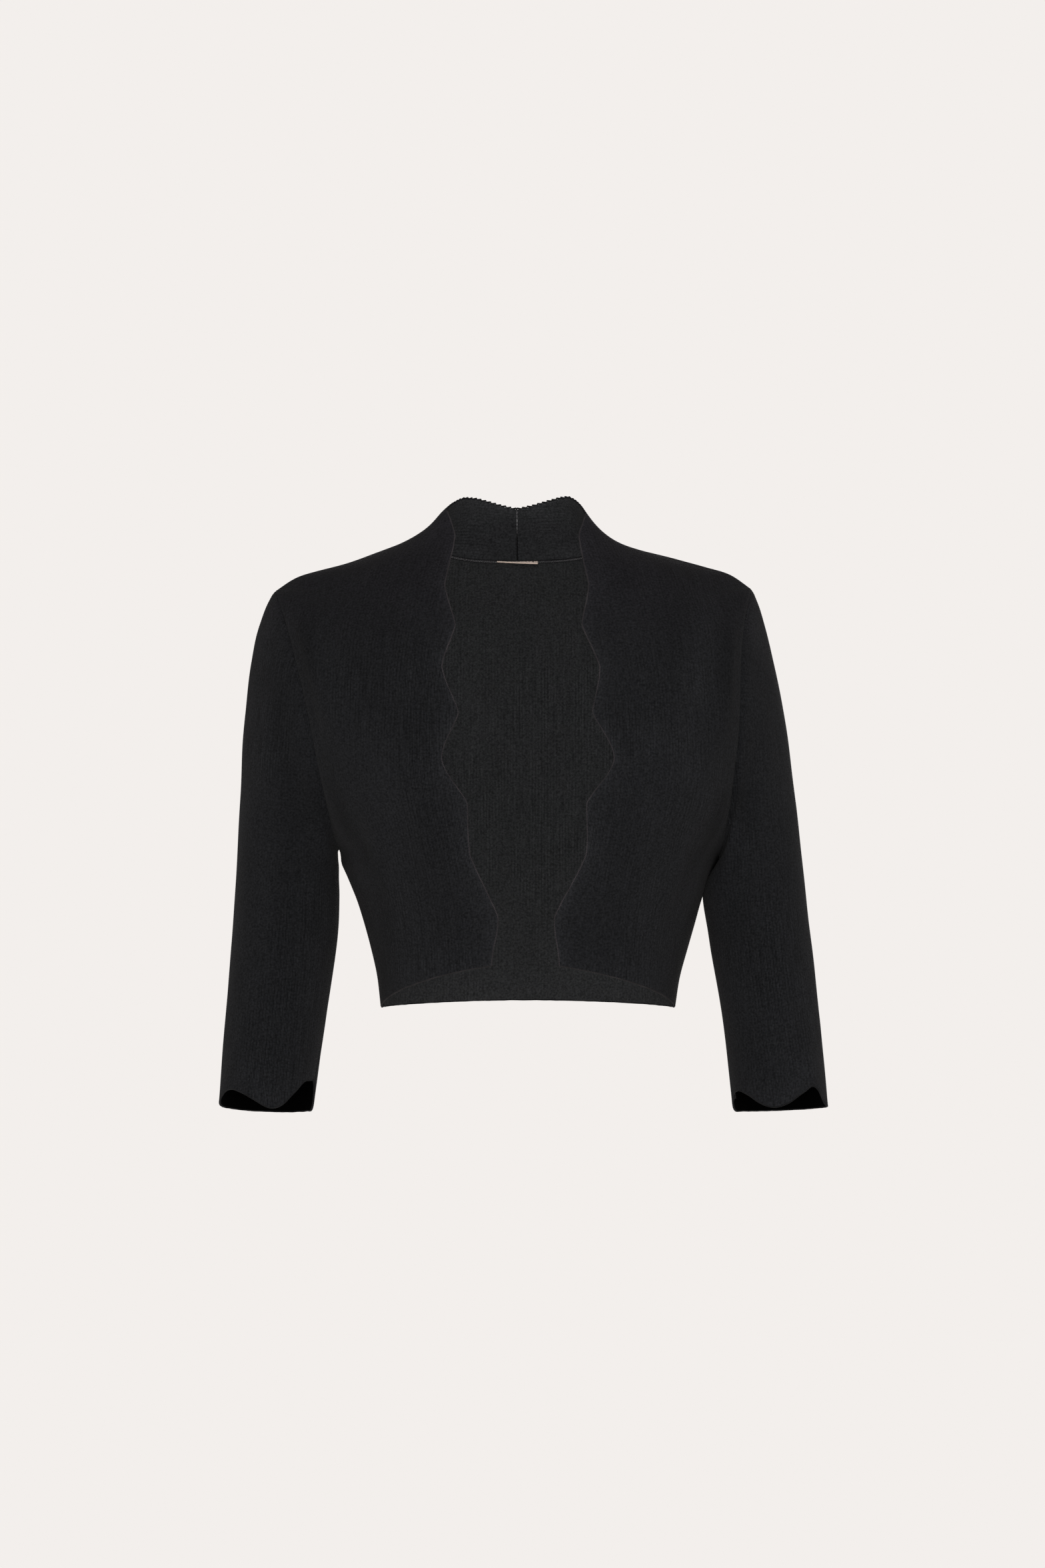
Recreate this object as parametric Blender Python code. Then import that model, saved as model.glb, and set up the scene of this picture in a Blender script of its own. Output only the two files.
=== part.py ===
"""Cropped open cardigan in fine rib knit, standing in the hollow shape of being worn.

Metres, +Z up, the front faces -Y. The origin lies midway between the two neck points, where the
shoulder seams meet the collar. Each front is knitted in one with its half of the standing collar,
so one strip runs from the front hem, up the chest and round the neck to the centre-back seam.
Its free edge is scalloped all the way. The back, the two fronts, the two sleeves and the small
neck label are walls of cloth, 0.3 mm apart at their seams.

"right" and "left" are the wearer's: the right side lies at -X.
"""

import math

import bpy
import numpy as np
from mathutils.kdtree import KDTree

CLOTH = 0.0015  # thickness of the knit
SEAM_GAP = 0.0003  # clearance between two pieces at a seam
SIDES = {"right": -1, "left": 1}  # the sign of X on each side

# ---------------------------------------------------------------- driving sizes
NECK_HALF_WIDTH = 0.076
NAPE = (0.060, -0.0175)  # Y and Z of the back neck seam at centre back
HEM_Z = -0.388
ARMHOLE_EGG = 0.15  # how much fuller the armhole is below than above
ARMHOLE_BOW = 0.0046  # how far the armhole curves in below the shoulder
EGG_FADE, BOW_FADE = 0.5, 0.3  # stations down the sleeve where each is gone
NECK_DROP_POWER = 1.5  # how quickly the neck seam falls from the neck point to the nape
SCALLOP = 0.0058  # half the depth of a front scallop
COLLAR_SCALLOP = 0.0042
STRAIGHT, ROUND, SHARP = 0.40, 0.35, 0.25  # shares of the three curves that make a scallop

# Number of wall segments along each seam, and across a front and along a sleeve.
SIDE_ROWS, ARMHOLE_ROWS, SHOULDER_ROWS, NECK_ROWS = 7, 15, 7, 7
FRONT_COLUMNS = 7
SLEEVE_RINGS = 13
RING_CROWDING = 1.6  # how much closer the rings of a sleeve are near the armhole
BEND_FROM_ROW = 10.0  # the row of the back where its bend towards the neck starts
BEND_SOFTENING = 0.2  # share of half the back over which the bend is rounded off

# A front is a row of rungs, from its sewn edge to its scalloped edge. These are the row
# numbers at which the sewn edge passes from one seam to the next.
UNDERARM_ROW = SIDE_ROWS
TIP_ROW = UNDERARM_ROW + ARMHOLE_ROWS
NECK_ROW = TIP_ROW + SHOULDER_ROWS
NAPE_ROW = NECK_ROW + NECK_ROWS

# ---------------------------------------------------------------- tables
# Half width of the body at the side seam.
SIDE_SEAM = (  # share of the way up, half width
    (0.00, 0.1200),
    (0.20, 0.1236),
    (0.38, 0.1290),
    (0.56, 0.1350),
    (0.73, 0.1406),
    (0.86, 0.1462),
    (0.95, 0.1518),
    (1.00, 0.1556),
)

# The shoulder seams, from the shoulder tip, share 0, to the neck point, share 1.
SHOULDER_SEAM = {
    "right": (  # share, half width, z
        (0.00, 0.1985, -0.0470),
        (0.12, 0.1840, -0.0387),
        (0.26, 0.1665, -0.0330),
        (0.50, 0.1373, -0.0238),
        (0.78, 0.1030, -0.0108),
        (1.00, 0.0760, 0.0000),
    ),
    "left": (
        (0.00, 0.1905, -0.0455),
        (0.14, 0.1750, -0.0350),
        (0.30, 0.1560, -0.0287),
        (0.52, 0.1310, -0.0212),
        (0.78, 0.1015, -0.0140),
        (1.00, 0.0760, -0.0040),
    ),
}

# The middle line of the free edge, from the front hem corner to centre back, with the turning
# points of its scallops: +1 stands out, -1 falls back, 0 is on the line. The skew is how far
# both edges lie along X from their mirrored places, as worn.
FREE_EDGE = (  # row, x, y, z, scallop, depth of the scallop there, skew
    (0.0, 0.0240, -0.088, -0.349, -0.5, SCALLOP, -0.0027),
    (3.0, 0.0280, -0.092, -0.311, 1.0, SCALLOP, -0.0024),
    (6.0, 0.0400, -0.103, -0.261, -1.0, SCALLOP, -0.0011),
    (9.0, 0.0528, -0.110, -0.220, 1.0, SCALLOP, -0.0014),
    (12.0, 0.0626, -0.112, -0.185, -1.0, SCALLOP, 0.0),
    (15.0, 0.0585, -0.108, -0.148, 1.0, SCALLOP, -0.0006),
    (18.0, 0.0568, -0.100, -0.114, -1.0, SCALLOP, -0.0013),
    (20.7, 0.0559, -0.085, -0.0775, 1.0, SCALLOP, -0.0008),
    (23.0, 0.0530, -0.068, -0.045, -0.8, SCALLOP, -0.0008),
    (26.0, 0.0540, -0.033, -0.005, 1.0, COLLAR_SCALLOP, 0.0),
    (28.5, 0.0520, -0.003, 0.019, -1.0, COLLAR_SCALLOP, 0.0),
    (31.5, 0.0445, 0.027, 0.029, 1.0, COLLAR_SCALLOP, 0.0),
    (36.0, 0.0000, 0.056, 0.029, -1.0, COLLAR_SCALLOP, 0.0),
)

# Each rung of a front is a cubic curve. These are its two middle control points. The left
# collar rolls a little lower than the right one.
FRONT_RUNGS = (  # row, x, y, z near the sewn edge, x, y, z near the free edge, drop of the left
    (0.0, 0.1195, -0.052, -0.374, 0.078, -0.090, -0.356, 0.0016),
    (3.5, 0.1320, -0.056, -0.318, 0.080, -0.101, -0.306, 0.0010),
    (7.0, 0.1510, -0.065, -0.256, 0.099, -0.119, -0.247, 0.000),
    (11.0, 0.1530, -0.085, -0.215, 0.107, -0.129, -0.201, 0.000),
    (15.0, 0.1600, -0.084, -0.142, 0.105, -0.118, -0.142, 0.000),
    (19.0, 0.1720, -0.058, -0.072, 0.100, -0.096, -0.090, 0.000),
    (22.0, 0.1800, -0.028, -0.044, 0.100, -0.072, -0.056, 0.000),
    (25.5, 0.1250, -0.026, -0.024, 0.084, -0.046, -0.018, 0.002),
    (28.0, 0.0840, -0.010, -0.002, 0.067, -0.014, 0.006, 0.004),
    (30.0, 0.0640, 0.012, 0.004, 0.058, 0.010, 0.013, 0.004),
    (32.5, 0.0525, 0.0425, -0.002, 0.046, 0.040, 0.013, 0.000),
    (36.0, 0.0000, 0.0615, -0.005, 0.000, 0.0595, 0.011, 0.000),
)

# Each half row of the back is a cubic curve, from its sewn edge to centre back.
BACK_ROWS = (  # row, x, y, z near the sewn edge, x near centre back, y and z at centre back
    (0.0, 0.1190, 0.048, -0.3895, 0.062, 0.072, -0.3868),
    (3.5, 0.1320, 0.056, -0.325, 0.066, 0.078, -0.325),
    (7.0, 0.1500, 0.061, -0.258, 0.080, 0.089, -0.258),
    (12.0, 0.1520, 0.083, -0.195, 0.085, 0.098, -0.188),
    (17.0, 0.1650, 0.073, -0.098, 0.085, 0.095, -0.106),
    (20.0, 0.1700, 0.048, -0.058, 0.070, 0.080, -0.060),
    (22.0, 0.1600, 0.022, -0.036, 0.060, 0.060, -0.020),
)

# A sleeve is a fan of rings that share the underarm, then a tube to the cuff. The first ring is
# the armhole. The outer and inner points are where the ring crosses the plane through the arm.
SLEEVE = {
    "right": (  # station, outer x, outer z, inner x, inner z, middle y, half depth, front lift
        (0.00, 0.1985, -0.0470, 0.1556, -0.2575, 0.000, 0.0620, 0.0000),
        (0.02, 0.2045, -0.0560, 0.1576, -0.2602, 0.000, 0.0615, 0.0000),
        (0.06, 0.2125, -0.0740, 0.1578, -0.2650, 0.000, 0.0600, 0.0000),
        (0.14, 0.2212, -0.1060, 0.1572, -0.2725, 0.001, 0.0570, 0.0010),
        (0.26, 0.2308, -0.1550, 0.1571, -0.2820, 0.002, 0.0530, 0.0020),
        (0.42, 0.2362, -0.2200, 0.1566, -0.3000, 0.003, 0.0500, 0.0030),
        (0.60, 0.2407, -0.3000, 0.1580, -0.3320, 0.000, 0.0480, 0.0040),
        (0.80, 0.2456, -0.3830, 0.1661, -0.3950, -0.009, 0.0450, 0.0045),
        (1.00, 0.2508, -0.4665, 0.1742, -0.4690, -0.022, 0.0420, 0.0080),
    ),
    "left": (
        (0.00, 0.1905, -0.0455, 0.1556, -0.2640, 0.000, 0.0620, 0.0000),
        (0.02, 0.1948, -0.0560, 0.1574, -0.2668, 0.000, 0.0615, 0.0000),
        (0.06, 0.1998, -0.0740, 0.1560, -0.2718, 0.000, 0.0600, 0.0000),
        (0.14, 0.2062, -0.1060, 0.1522, -0.2800, 0.001, 0.0570, 0.0010),
        (0.26, 0.2117, -0.1550, 0.1476, -0.2900, 0.002, 0.0530, 0.0020),
        (0.42, 0.2186, -0.2200, 0.1460, -0.3060, 0.003, 0.0500, 0.0030),
        (0.60, 0.2266, -0.3000, 0.1494, -0.3340, 0.000, 0.0470, 0.0040),
        (0.80, 0.2363, -0.3830, 0.1598, -0.3950, -0.009, 0.0440, 0.0045),
        (1.00, 0.2435, -0.4675, 0.1670, -0.4703, -0.022, 0.0420, 0.0059),
    ),
}

# How far the cuff's edge rises round the sleeve, 0 degrees on its outer side and 90 in front.
# It is scalloped in front and level past the ends of its table, and each sleeve is turned a little
# differently.
CUFF_SCALLOPS = {
    "right": (  # degrees, rise
        (-14.0, 0.0000),
        (4.0, 0.0014),
        (20.0, 0.0056),
        (44.0, 0.0106),
        (62.0, 0.0079),
        (82.0, 0.0008),
        (99.0, -0.0045),
        (112.0, -0.0020),
        (130.0, 0.0095),
        (147.0, 0.0194),
        (163.0, 0.0216),
        (179.0, 0.0232),
        (188.0, 0.0110),
        (200.0, 0.0010),
        (216.0, 0.0000),
        (236.0, 0.0000),
    ),
    "left": (
        (4.0, 0.0000),
        (14.0, 0.0003),
        (28.0, 0.0036),
        (40.0, 0.0120),
        (50.0, 0.0154),
        (66.0, 0.0105),
        (84.0, 0.0026),
        (101.0, -0.0012),
        (116.0, 0.0022),
        (138.0, 0.0110),
        (156.0, 0.0149),
        (170.0, 0.0133),
        (180.0, 0.0092),
        (190.0, 0.0035),
        (203.0, 0.0000),
        (222.0, 0.0000),
    ),
}
CUFF_FADE = 0.80  # the station where the scallops begin to shape the sleeve

# The garment stands with a slight lean, as it does on its wearer.
LEAN = (  # z, shift along X
    (-0.390, 0.0044),
    (-0.310, 0.0054),
    (-0.200, 0.0046),
    (-0.150, 0.0030),
    (-0.100, -0.0010),
    (-0.050, -0.0036),
    (0.030, -0.0048),
)

LABEL_WIDTH, LABEL_HEIGHT, LABEL_THICKNESS = 0.0345, 0.0045, 0.0006
LABEL_BELOW_SEAM = 0.0008
LABEL_GAP = 0.0005  # clearance between the label and the back
LABEL_ROWS, LABEL_COLUMNS = 2, 6

KNIT_COLOUR = (0.0105, 0.0105, 0.0115, 1.0)
LABEL_COLOUR = (0.012, 0.012, 0.012, 1.0)
SHARP_ANGLE = math.radians(40)


# ---------------------------------------------------------------- curves
def smooth(table, at, columns):
    """The table's columns at the given values of its first column, on a smooth curve."""
    rows = np.array(table, float)
    knots, values = rows[:, 0], rows[:, columns]
    slopes = np.gradient(values, knots, axis=0)
    at = np.clip(np.atleast_1d(np.asarray(at, float)), knots[0], knots[-1])
    left = np.clip(np.searchsorted(knots, at, side="right") - 1, 0, len(knots) - 2)
    span = (knots[left + 1] - knots[left])[:, None]
    t = (at - knots[left])[:, None] / span
    rise = t * t * (3 - 2 * t)
    return (
        values[left] * (1 - rise)
        + values[left + 1] * rise
        + span * slopes[left] * (t * (1 - t) ** 2)
        - span * slopes[left + 1] * (t * t * (1 - t))
    )


def ease(t):
    t = np.clip(t, 0.0, 1.0)
    return t * t * (3 - 2 * t)


def cubic(p0, p1, p2, p3, t):
    """Points at t along the cubic curves with these control points, as rows by columns."""
    t = np.asarray(t, float)[None, :, None]
    p0, p1, p2, p3 = (p[:, None, :] for p in (p0, p1, p2, p3))
    return (1 - t) ** 3 * p0 + 3 * t * (1 - t) ** 2 * p1 + 3 * t * t * (1 - t) * p2 + t**3 * p3


def unit(vectors):
    return vectors / np.maximum(np.linalg.norm(vectors, axis=-1, keepdims=True), 1e-12)


def lean(points):
    """The points as the leaning body carries them."""
    moved = points.copy()
    moved[..., 0] += smooth(LEAN, points[..., 2].ravel(), [1]).reshape(points.shape[:-1])
    return moved


# ---------------------------------------------------------------- seams, on the +X side
def sleeve_ring(side, station, degrees):
    """Points round the sleeve's rings: 0 degrees outside, 90 in front, 180 inside, 270 behind."""
    table = smooth(SLEEVE[side], station, [1, 2, 3, 4, 5, 6, 7])[:, None, :]
    outer_x, outer_z, inner_x, inner_z, middle_y, half_depth, lift = np.moveaxis(table, -1, 0)
    turn = np.radians(degrees)[None, :]
    side_way, front_way = np.cos(turn), np.sin(turn)
    station = np.asarray(station, float)[:, None]
    egg = ARMHOLE_EGG * (1 - ease(station / EGG_FADE))
    bow_shape = (1 + side_way) ** 2 * (1 - side_way**2) * 16 / 27  # 1 at its highest
    bow = ARMHOLE_BOW * (1 - ease(station / BOW_FADE)) * bow_shape
    x = (outer_x + inner_x) / 2 + (outer_x - inner_x) / 2 * side_way - bow
    y = middle_y - half_depth * front_way * (1 - egg * side_way)
    z = (outer_z + inner_z) / 2 + (outer_z - inner_z) / 2 * side_way + lift * front_way
    scallops = CUFF_SCALLOPS[side]
    wrapped = np.where(degrees > scallops[-1][0], degrees - 360.0, degrees)
    fade = ease((station - CUFF_FADE) / (1 - CUFF_FADE))
    z = z + fade * smooth(scallops, wrapped, [1])[:, 0][None, :]
    return np.stack([x, y, z], axis=-1)


def armhole(side, share, front):
    """The armhole from the underarm, share 0, to the shoulder tip, share 1."""
    degrees = 180.0 * (1 - share) if front else 180.0 + 180.0 * share
    return sleeve_ring(side, [0.0], degrees)[0]


def side_seam(side, share):
    """From the hem to the underarm."""
    underarm_z = SLEEVE[side][0][4]
    z = HEM_Z + (underarm_z - HEM_Z) * share
    return np.stack([smooth(SIDE_SEAM, share, [1])[:, 0], np.zeros_like(z), z], axis=-1)


def shoulder_seam(side, share):
    """From the shoulder tip to the neck point."""
    x, z = smooth(SHOULDER_SEAM[side], share, [1, 2]).T
    return np.stack([x, np.zeros_like(x), z], axis=-1)


def neck_seam(side, share):
    """From the neck point to the nape."""
    neck_z = SHOULDER_SEAM[side][-1][2]
    turn = math.pi / 2 * share
    z = NAPE[1] + (neck_z - NAPE[1]) * (1 - np.sin(turn)) ** NECK_DROP_POWER
    return np.stack([NECK_HALF_WIDTH * np.cos(turn), NAPE[0] * np.sin(turn), z], axis=-1)


def sewn_edge(side, rows, front):
    """The edge that a front or half the back is sewn by, at the given row numbers."""
    edge = np.zeros((len(rows), 3))
    for first, last, seam in (
        (0, UNDERARM_ROW, lambda s: side_seam(side, s)),
        (UNDERARM_ROW, TIP_ROW, lambda s: armhole(side, s, front)),
        (TIP_ROW, NECK_ROW, lambda s: shoulder_seam(side, s)),
        (NECK_ROW, NAPE_ROW, lambda s: neck_seam(side, s)),
    ):
        here = (rows >= first) & (rows <= last)
        if here.any():
            edge[here] = seam((rows[here] - first) / (last - first))
    return edge


def free_edge(side, rows, inner_handle):
    """The scalloped edge. It runs nearly straight between its turns, and is a little sharper where
    it stands out than where it falls back."""
    base = smooth(FREE_EDGE, rows, [1, 2, 3])
    base[:, 0] += SIDES[side] * smooth(FREE_EDGE, rows, [6])[:, 0]
    knots, turns, depths = (np.array(FREE_EDGE)[:, c] for c in (0, 4, 5))
    left = np.clip(np.searchsorted(knots, rows, side="right") - 1, 0, len(knots) - 2)
    t = (rows - knots[left]) / (knots[left + 1] - knots[left])
    rising = turns[left + 1] > turns[left]
    t = np.where(rising, t, 1 - t)
    shape = STRAIGHT * t + ROUND * ease(t) + SHARP * (1 - np.cos(t * math.pi / 2))
    low, high = np.minimum(turns[left], turns[left + 1]), np.maximum(turns[left], turns[left + 1])
    offset = (low + (high - low) * shape) * np.interp(rows, knots, depths)
    return base + unit(base - inner_handle) * offset[:, None]


# ---------------------------------------------------------------- panels, as grids of points
def front_grid(side, rows, across):
    handles = smooth(FRONT_RUNGS, rows, [1, 2, 3, 4, 5, 6, 7])
    near_seam, near_edge = handles[:, 0:3], handles[:, 3:6]
    if side == "left":
        near_seam[:, 2] -= handles[:, 6]
        near_edge[:, 2] -= handles[:, 6]
    edge = free_edge(side, rows, near_edge)
    grid = cubic(sewn_edge(side, rows, True), near_seam, near_edge, edge, across)
    grid[..., 0] *= SIDES[side]
    return lean(grid)


def softened(line):
    """The row of points with its corners rounded off; its two ends stay."""
    reach = round(len(line) * BEND_SOFTENING)
    bell = np.hanning(2 * reach + 3)[1:-1]
    before = 2 * line[0] - line[reach:0:-1]
    after = 2 * line[-1] - line[-2 : -reach - 2 : -1]
    padded = np.concatenate([before, line, after])
    return np.stack([np.convolve(padded[:, k], bell / bell.sum(), "valid") for k in range(3)], axis=-1)


def half_back_grid(side, rows, across):
    """Half the back, from its sewn edge to centre back. Its top row bends to the shoulder and
    neck seams, and the rows below take up that bend less and less."""
    table = smooth(BACK_ROWS, rows, [1, 2, 3, 4, 5, 6])
    centre = np.stack([np.zeros(len(rows)), table[:, 4], table[:, 5]], axis=-1)
    near_centre = np.stack([table[:, 3], table[:, 4], table[:, 5]], axis=-1)
    edge = sewn_edge(side, rows, False)
    grid = cubic(edge, table[:, :3], near_centre, centre, across)
    top_table = smooth(BACK_ROWS, [TIP_ROW], [1, 2, 3, 4, 5, 6])[0]
    top_centre = np.array([0.0, top_table[4], top_table[5]])
    top_near = np.array([top_table[3], top_table[4], top_table[5]])
    tip = sewn_edge(side, np.array([float(TIP_ROW)]), False)[0]
    plain_top = cubic(*(p[None, :] for p in (tip, top_table[:3], top_near, top_centre)), across)[0]
    seam_rows = TIP_ROW + across * (NAPE_ROW - TIP_ROW)
    bend = sewn_edge(side, seam_rows, False) - plain_top
    share = np.clip((rows - BEND_FROM_ROW) / (TIP_ROW - BEND_FROM_ROW), 0, 1)[:, None, None]
    grid += share**2 * (share * bend + (1 - share) * softened(bend))
    grid[..., 0] *= SIDES[side]
    return lean(grid)


def back_grid(rows, across):
    """The whole back, from the right sewn edge to the left one."""
    right = half_back_grid("right", rows, across)
    left = half_back_grid("left", rows, across)
    return np.concatenate([right, left[:, -2::-1]], axis=1)


def sleeve_grid(side, stations, degrees):
    grid = sleeve_ring(side, stations, degrees)
    grid[..., 0] *= SIDES[side]
    return lean(grid)


# ---------------------------------------------------------------- walls
def grid_normals(grid, closed):
    """Unit normals of a grid of points; closed means that its columns go all the way round."""
    along = np.gradient(grid, axis=0)
    if closed:
        across = np.roll(grid, -1, axis=1) - np.roll(grid, 1, axis=1)
    else:
        across = np.gradient(grid, axis=1)
    return unit(np.cross(across, along))


class Panel:
    """One piece of cloth: the grid of points down its middle, and which of its edges are sewn."""

    def __init__(self, name, grid, outward, sewn, closed=False):
        self.name, self.grid, self.sewn, self.closed = name, grid, sewn, closed
        self.normals = grid_normals(grid, closed) * outward
        self.weights = np.full(grid.shape[:2], 4.0)
        self.weights[[0, -1]] /= 2
        if not closed:
            self.weights[:, [0, -1]] /= 2

    def edges(self):
        """For each side of the grid: its name, its index, and the index of the line next to it."""
        yield "first_row", (0, slice(None)), (1, slice(None))
        yield "last_row", (-1, slice(None)), (-2, slice(None))
        if not self.closed:
            yield "first_column", (slice(None), 0), (slice(None), 1)
            yield "last_column", (slice(None), -1), (slice(None), -2)


def share_seam_normals(panels):
    """Gives the panels that meet at a point one normal there, so that their walls are mitred."""
    places = np.concatenate([panel.grid.reshape(-1, 3) for panel in panels])
    normals = np.concatenate([(p.normals * p.weights[..., None]).reshape(-1, 3) for p in panels])
    tree = KDTree(len(places))
    for i, place in enumerate(places):
        tree.insert(place, i)
    tree.balance()
    shared = np.zeros_like(normals)
    for i, place in enumerate(places):
        meeting = [found[1] for found in tree.find_range(place, SEAM_GAP / 10)]
        shared[i] = unit(normals[meeting].sum(axis=0))
    first = 0
    for panel in panels:
        size = panel.grid[..., 0].size
        panel.normals = shared[first : first + size].reshape(panel.grid.shape)
        first += size


def open_seams(panel):
    """Draws each sewn edge back by half the gap, square to the seam and to its normal."""
    moved = panel.grid.copy()
    for name, edge, inside in panel.edges():
        if name not in panel.sewn:
            continue
        line = panel.grid[edge]
        tangent = np.roll(line, -1, axis=0) - np.roll(line, 1, axis=0)
        if not panel.closed:
            tangent = np.gradient(line, axis=0)
        away = unit(np.cross(panel.normals[edge], tangent))
        inward = panel.grid[inside] - line
        away *= np.sign(np.sum(away * inward, axis=-1, keepdims=True))
        moved[edge] += away * SEAM_GAP / 2
    panel.grid = moved


def wall_mesh(name, grid, normals, thickness, closed):
    """A closed wall of cloth on both sides of the grid."""
    rows, columns = grid.shape[:2]
    count = rows * columns
    points = np.concatenate(
        [(grid + normals * thickness / 2).reshape(-1, 3), (grid - normals * thickness / 2).reshape(-1, 3)]
    )
    last_column = columns if closed else columns - 1

    def at(r, c):
        return r * columns + c % columns

    faces = []
    for r in range(rows - 1):
        for c in range(last_column):
            quad = (at(r, c), at(r, c + 1), at(r + 1, c + 1), at(r + 1, c))
            faces.append(quad)
            faces.append(tuple(i + count for i in reversed(quad)))
    rims = [[at(0, c) for c in range(last_column + (0 if closed else 1))]]
    if closed:
        rims.append([at(rows - 1, c) for c in reversed(range(columns))])
    else:
        rims[0] += [at(r, columns - 1) for r in range(1, rows)]
        rims[0] += [at(rows - 1, c) for c in reversed(range(columns - 1))]
        rims[0] += [at(r, 0) for r in reversed(range(1, rows - 1))]
    heights = grid[..., 2].ravel()
    for rim in rims:
        for a, b in zip(rim, rim[1:] + rim[:1]):
            # Two panels split the rim that they share along the same diagonal.
            if heights[a] < heights[b]:
                faces += [(b, a, b + count), (a, a + count, b + count)]
            else:
                faces += [(b, a, a + count), (b, a + count, b + count)]
    mesh = bpy.data.meshes.new(name)
    mesh.from_pydata(points.tolist(), [], faces)
    mesh.validate()
    return mesh


def facing_out(mesh):
    """Turns the mesh's faces round if they point inwards."""
    mesh.calc_loop_triangles()
    volume = 0.0
    for triangle in mesh.loop_triangles:
        a, b, c = (mesh.vertices[i].co for i in triangle.vertices)
        volume += a.dot(b.cross(c))
    if volume < 0:
        mesh.flip_normals()


def cloth_material(name, colour):
    material = bpy.data.materials.new(name)
    material.use_nodes = True
    shader = material.node_tree.nodes["Principled BSDF"]
    shader.inputs["Base Color"].default_value = colour
    shader.inputs["Roughness"].default_value = 0.9
    shader.inputs["Metallic"].default_value = 0.0
    material.diffuse_color = colour
    return material


def add_piece(collection, name, mesh, material):
    facing_out(mesh)
    mesh.materials.append(material)
    mesh.shade_smooth()
    mesh.set_sharp_from_angle(angle=SHARP_ANGLE)
    collection.objects.link(bpy.data.objects.new(name, mesh))


# ---------------------------------------------------------------- the garment
def garment_panels():
    """All the knitted panels, with common normals where they meet."""
    rows = np.arange(NAPE_ROW + 1.0)
    half_across = np.linspace(0, 1, SHOULDER_ROWS + NECK_ROWS + 1)
    across = np.linspace(0, 1, FRONT_COLUMNS + 1)
    degrees = np.arange(2 * ARMHOLE_ROWS) * 180.0 / ARMHOLE_ROWS
    stations = np.linspace(0, 1, SLEEVE_RINGS + 1) ** RING_CROWDING
    back = back_grid(rows[: TIP_ROW + 1], half_across)
    panels = [Panel("back", back, -1, ("last_row", "first_column", "last_column"))]
    for side, sign in SIDES.items():
        front = front_grid(side, rows, across)
        sleeve = sleeve_grid(side, stations, degrees)
        panels.append(Panel(f"front_{side}", front, -sign, ("first_column", "last_row")))
        panels.append(Panel(f"sleeve_{side}", sleeve, sign, ("first_row",), closed=True))
    share_seam_normals(panels)
    return panels


def between(points, places, wanted):
    """The points at the wanted places along the first axis, where the places increase."""
    index = np.interp(wanted, places, np.arange(len(places)))
    low = np.minimum(index.astype(int), len(places) - 2)
    share = (index - low).reshape(-1, *[1] * (points.ndim - 1))
    return points[low] * (1 - share) + points[low + 1] * share


def label_grid():
    """The neck label's middle, on the inside of the back just below the nape."""
    rows = np.linspace(TIP_ROW, TIP_ROW - 3.0, 25)
    back = back_grid(rows, np.linspace(0, 1, 57))
    inside = back - grid_normals(back, False) * (CLOTH / 2 + LABEL_GAP + LABEL_THICKNESS / 2)
    middle = inside[:, inside.shape[1] // 2]
    steps = np.linalg.norm(np.diff(middle, axis=0), axis=1)
    depths = np.concatenate([[0.0], np.cumsum(steps)])
    wanted_depths = LABEL_BELOW_SEAM + np.linspace(0, LABEL_HEIGHT, LABEL_ROWS + 1)
    wanted_x = middle[0, 0] + np.linspace(-LABEL_WIDTH / 2, LABEL_WIDTH / 2, LABEL_COLUMNS + 1)
    lines = between(inside, depths, wanted_depths)
    return np.stack([between(line, line[:, 0], wanted_x) for line in lines])


def build():
    for old in list(bpy.data.objects):
        bpy.data.objects.remove(old)
    collection = bpy.data.collections.new("cropped_cardigan")
    bpy.context.scene.collection.children.link(collection)
    knit = cloth_material("rib_knit", KNIT_COLOUR)
    for panel in garment_panels():
        open_seams(panel)
        mesh = wall_mesh(panel.name, panel.grid, panel.normals, CLOTH, panel.closed)
        add_piece(collection, panel.name, mesh, knit)
    label = label_grid()
    mesh = wall_mesh("neck_label", label, grid_normals(label, False), LABEL_THICKNESS, False)
    add_piece(collection, "neck_label", mesh, cloth_material("label", LABEL_COLOUR))


if __name__ == "__main__":
    build()
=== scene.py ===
"""Looks of the cropped open cardigan: black fine rib knit, standing in the hollow shape of being worn.

The frame gives the garment's place; the pieces here repeat its sizes and tables. Each panel
becomes a finer shell of knit with soft creases, rounded seams and a bound edge. The flat cut of
each panel is worked out from its worn shape, and the ribs run straight up that cut. Sizes are in
metres, apart from the tables of the cloth's shape, creases and swells, which are in millimetres.
"""

import math
from functools import partial, partialmethod

import bpy
import numpy as np
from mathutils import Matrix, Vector, noise
from mathutils.kdtree import KDTree


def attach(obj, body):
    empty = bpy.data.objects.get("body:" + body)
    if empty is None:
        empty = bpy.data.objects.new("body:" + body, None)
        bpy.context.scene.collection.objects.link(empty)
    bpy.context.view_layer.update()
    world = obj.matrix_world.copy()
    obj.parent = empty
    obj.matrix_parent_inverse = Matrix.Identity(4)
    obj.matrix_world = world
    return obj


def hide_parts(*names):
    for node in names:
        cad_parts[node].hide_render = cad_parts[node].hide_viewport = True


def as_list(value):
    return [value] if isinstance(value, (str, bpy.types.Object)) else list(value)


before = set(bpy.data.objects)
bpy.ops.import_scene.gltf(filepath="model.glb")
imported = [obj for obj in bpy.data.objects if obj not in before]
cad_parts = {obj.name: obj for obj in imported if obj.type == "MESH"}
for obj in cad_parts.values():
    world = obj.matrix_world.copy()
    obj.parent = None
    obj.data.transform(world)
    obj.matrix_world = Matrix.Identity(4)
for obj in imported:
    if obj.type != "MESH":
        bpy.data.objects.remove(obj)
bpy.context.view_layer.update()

CLOTH = 0.0015  # thickness of the knit
SIDES = {"right": -1, "left": 1}  # the sign of X on each side

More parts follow.
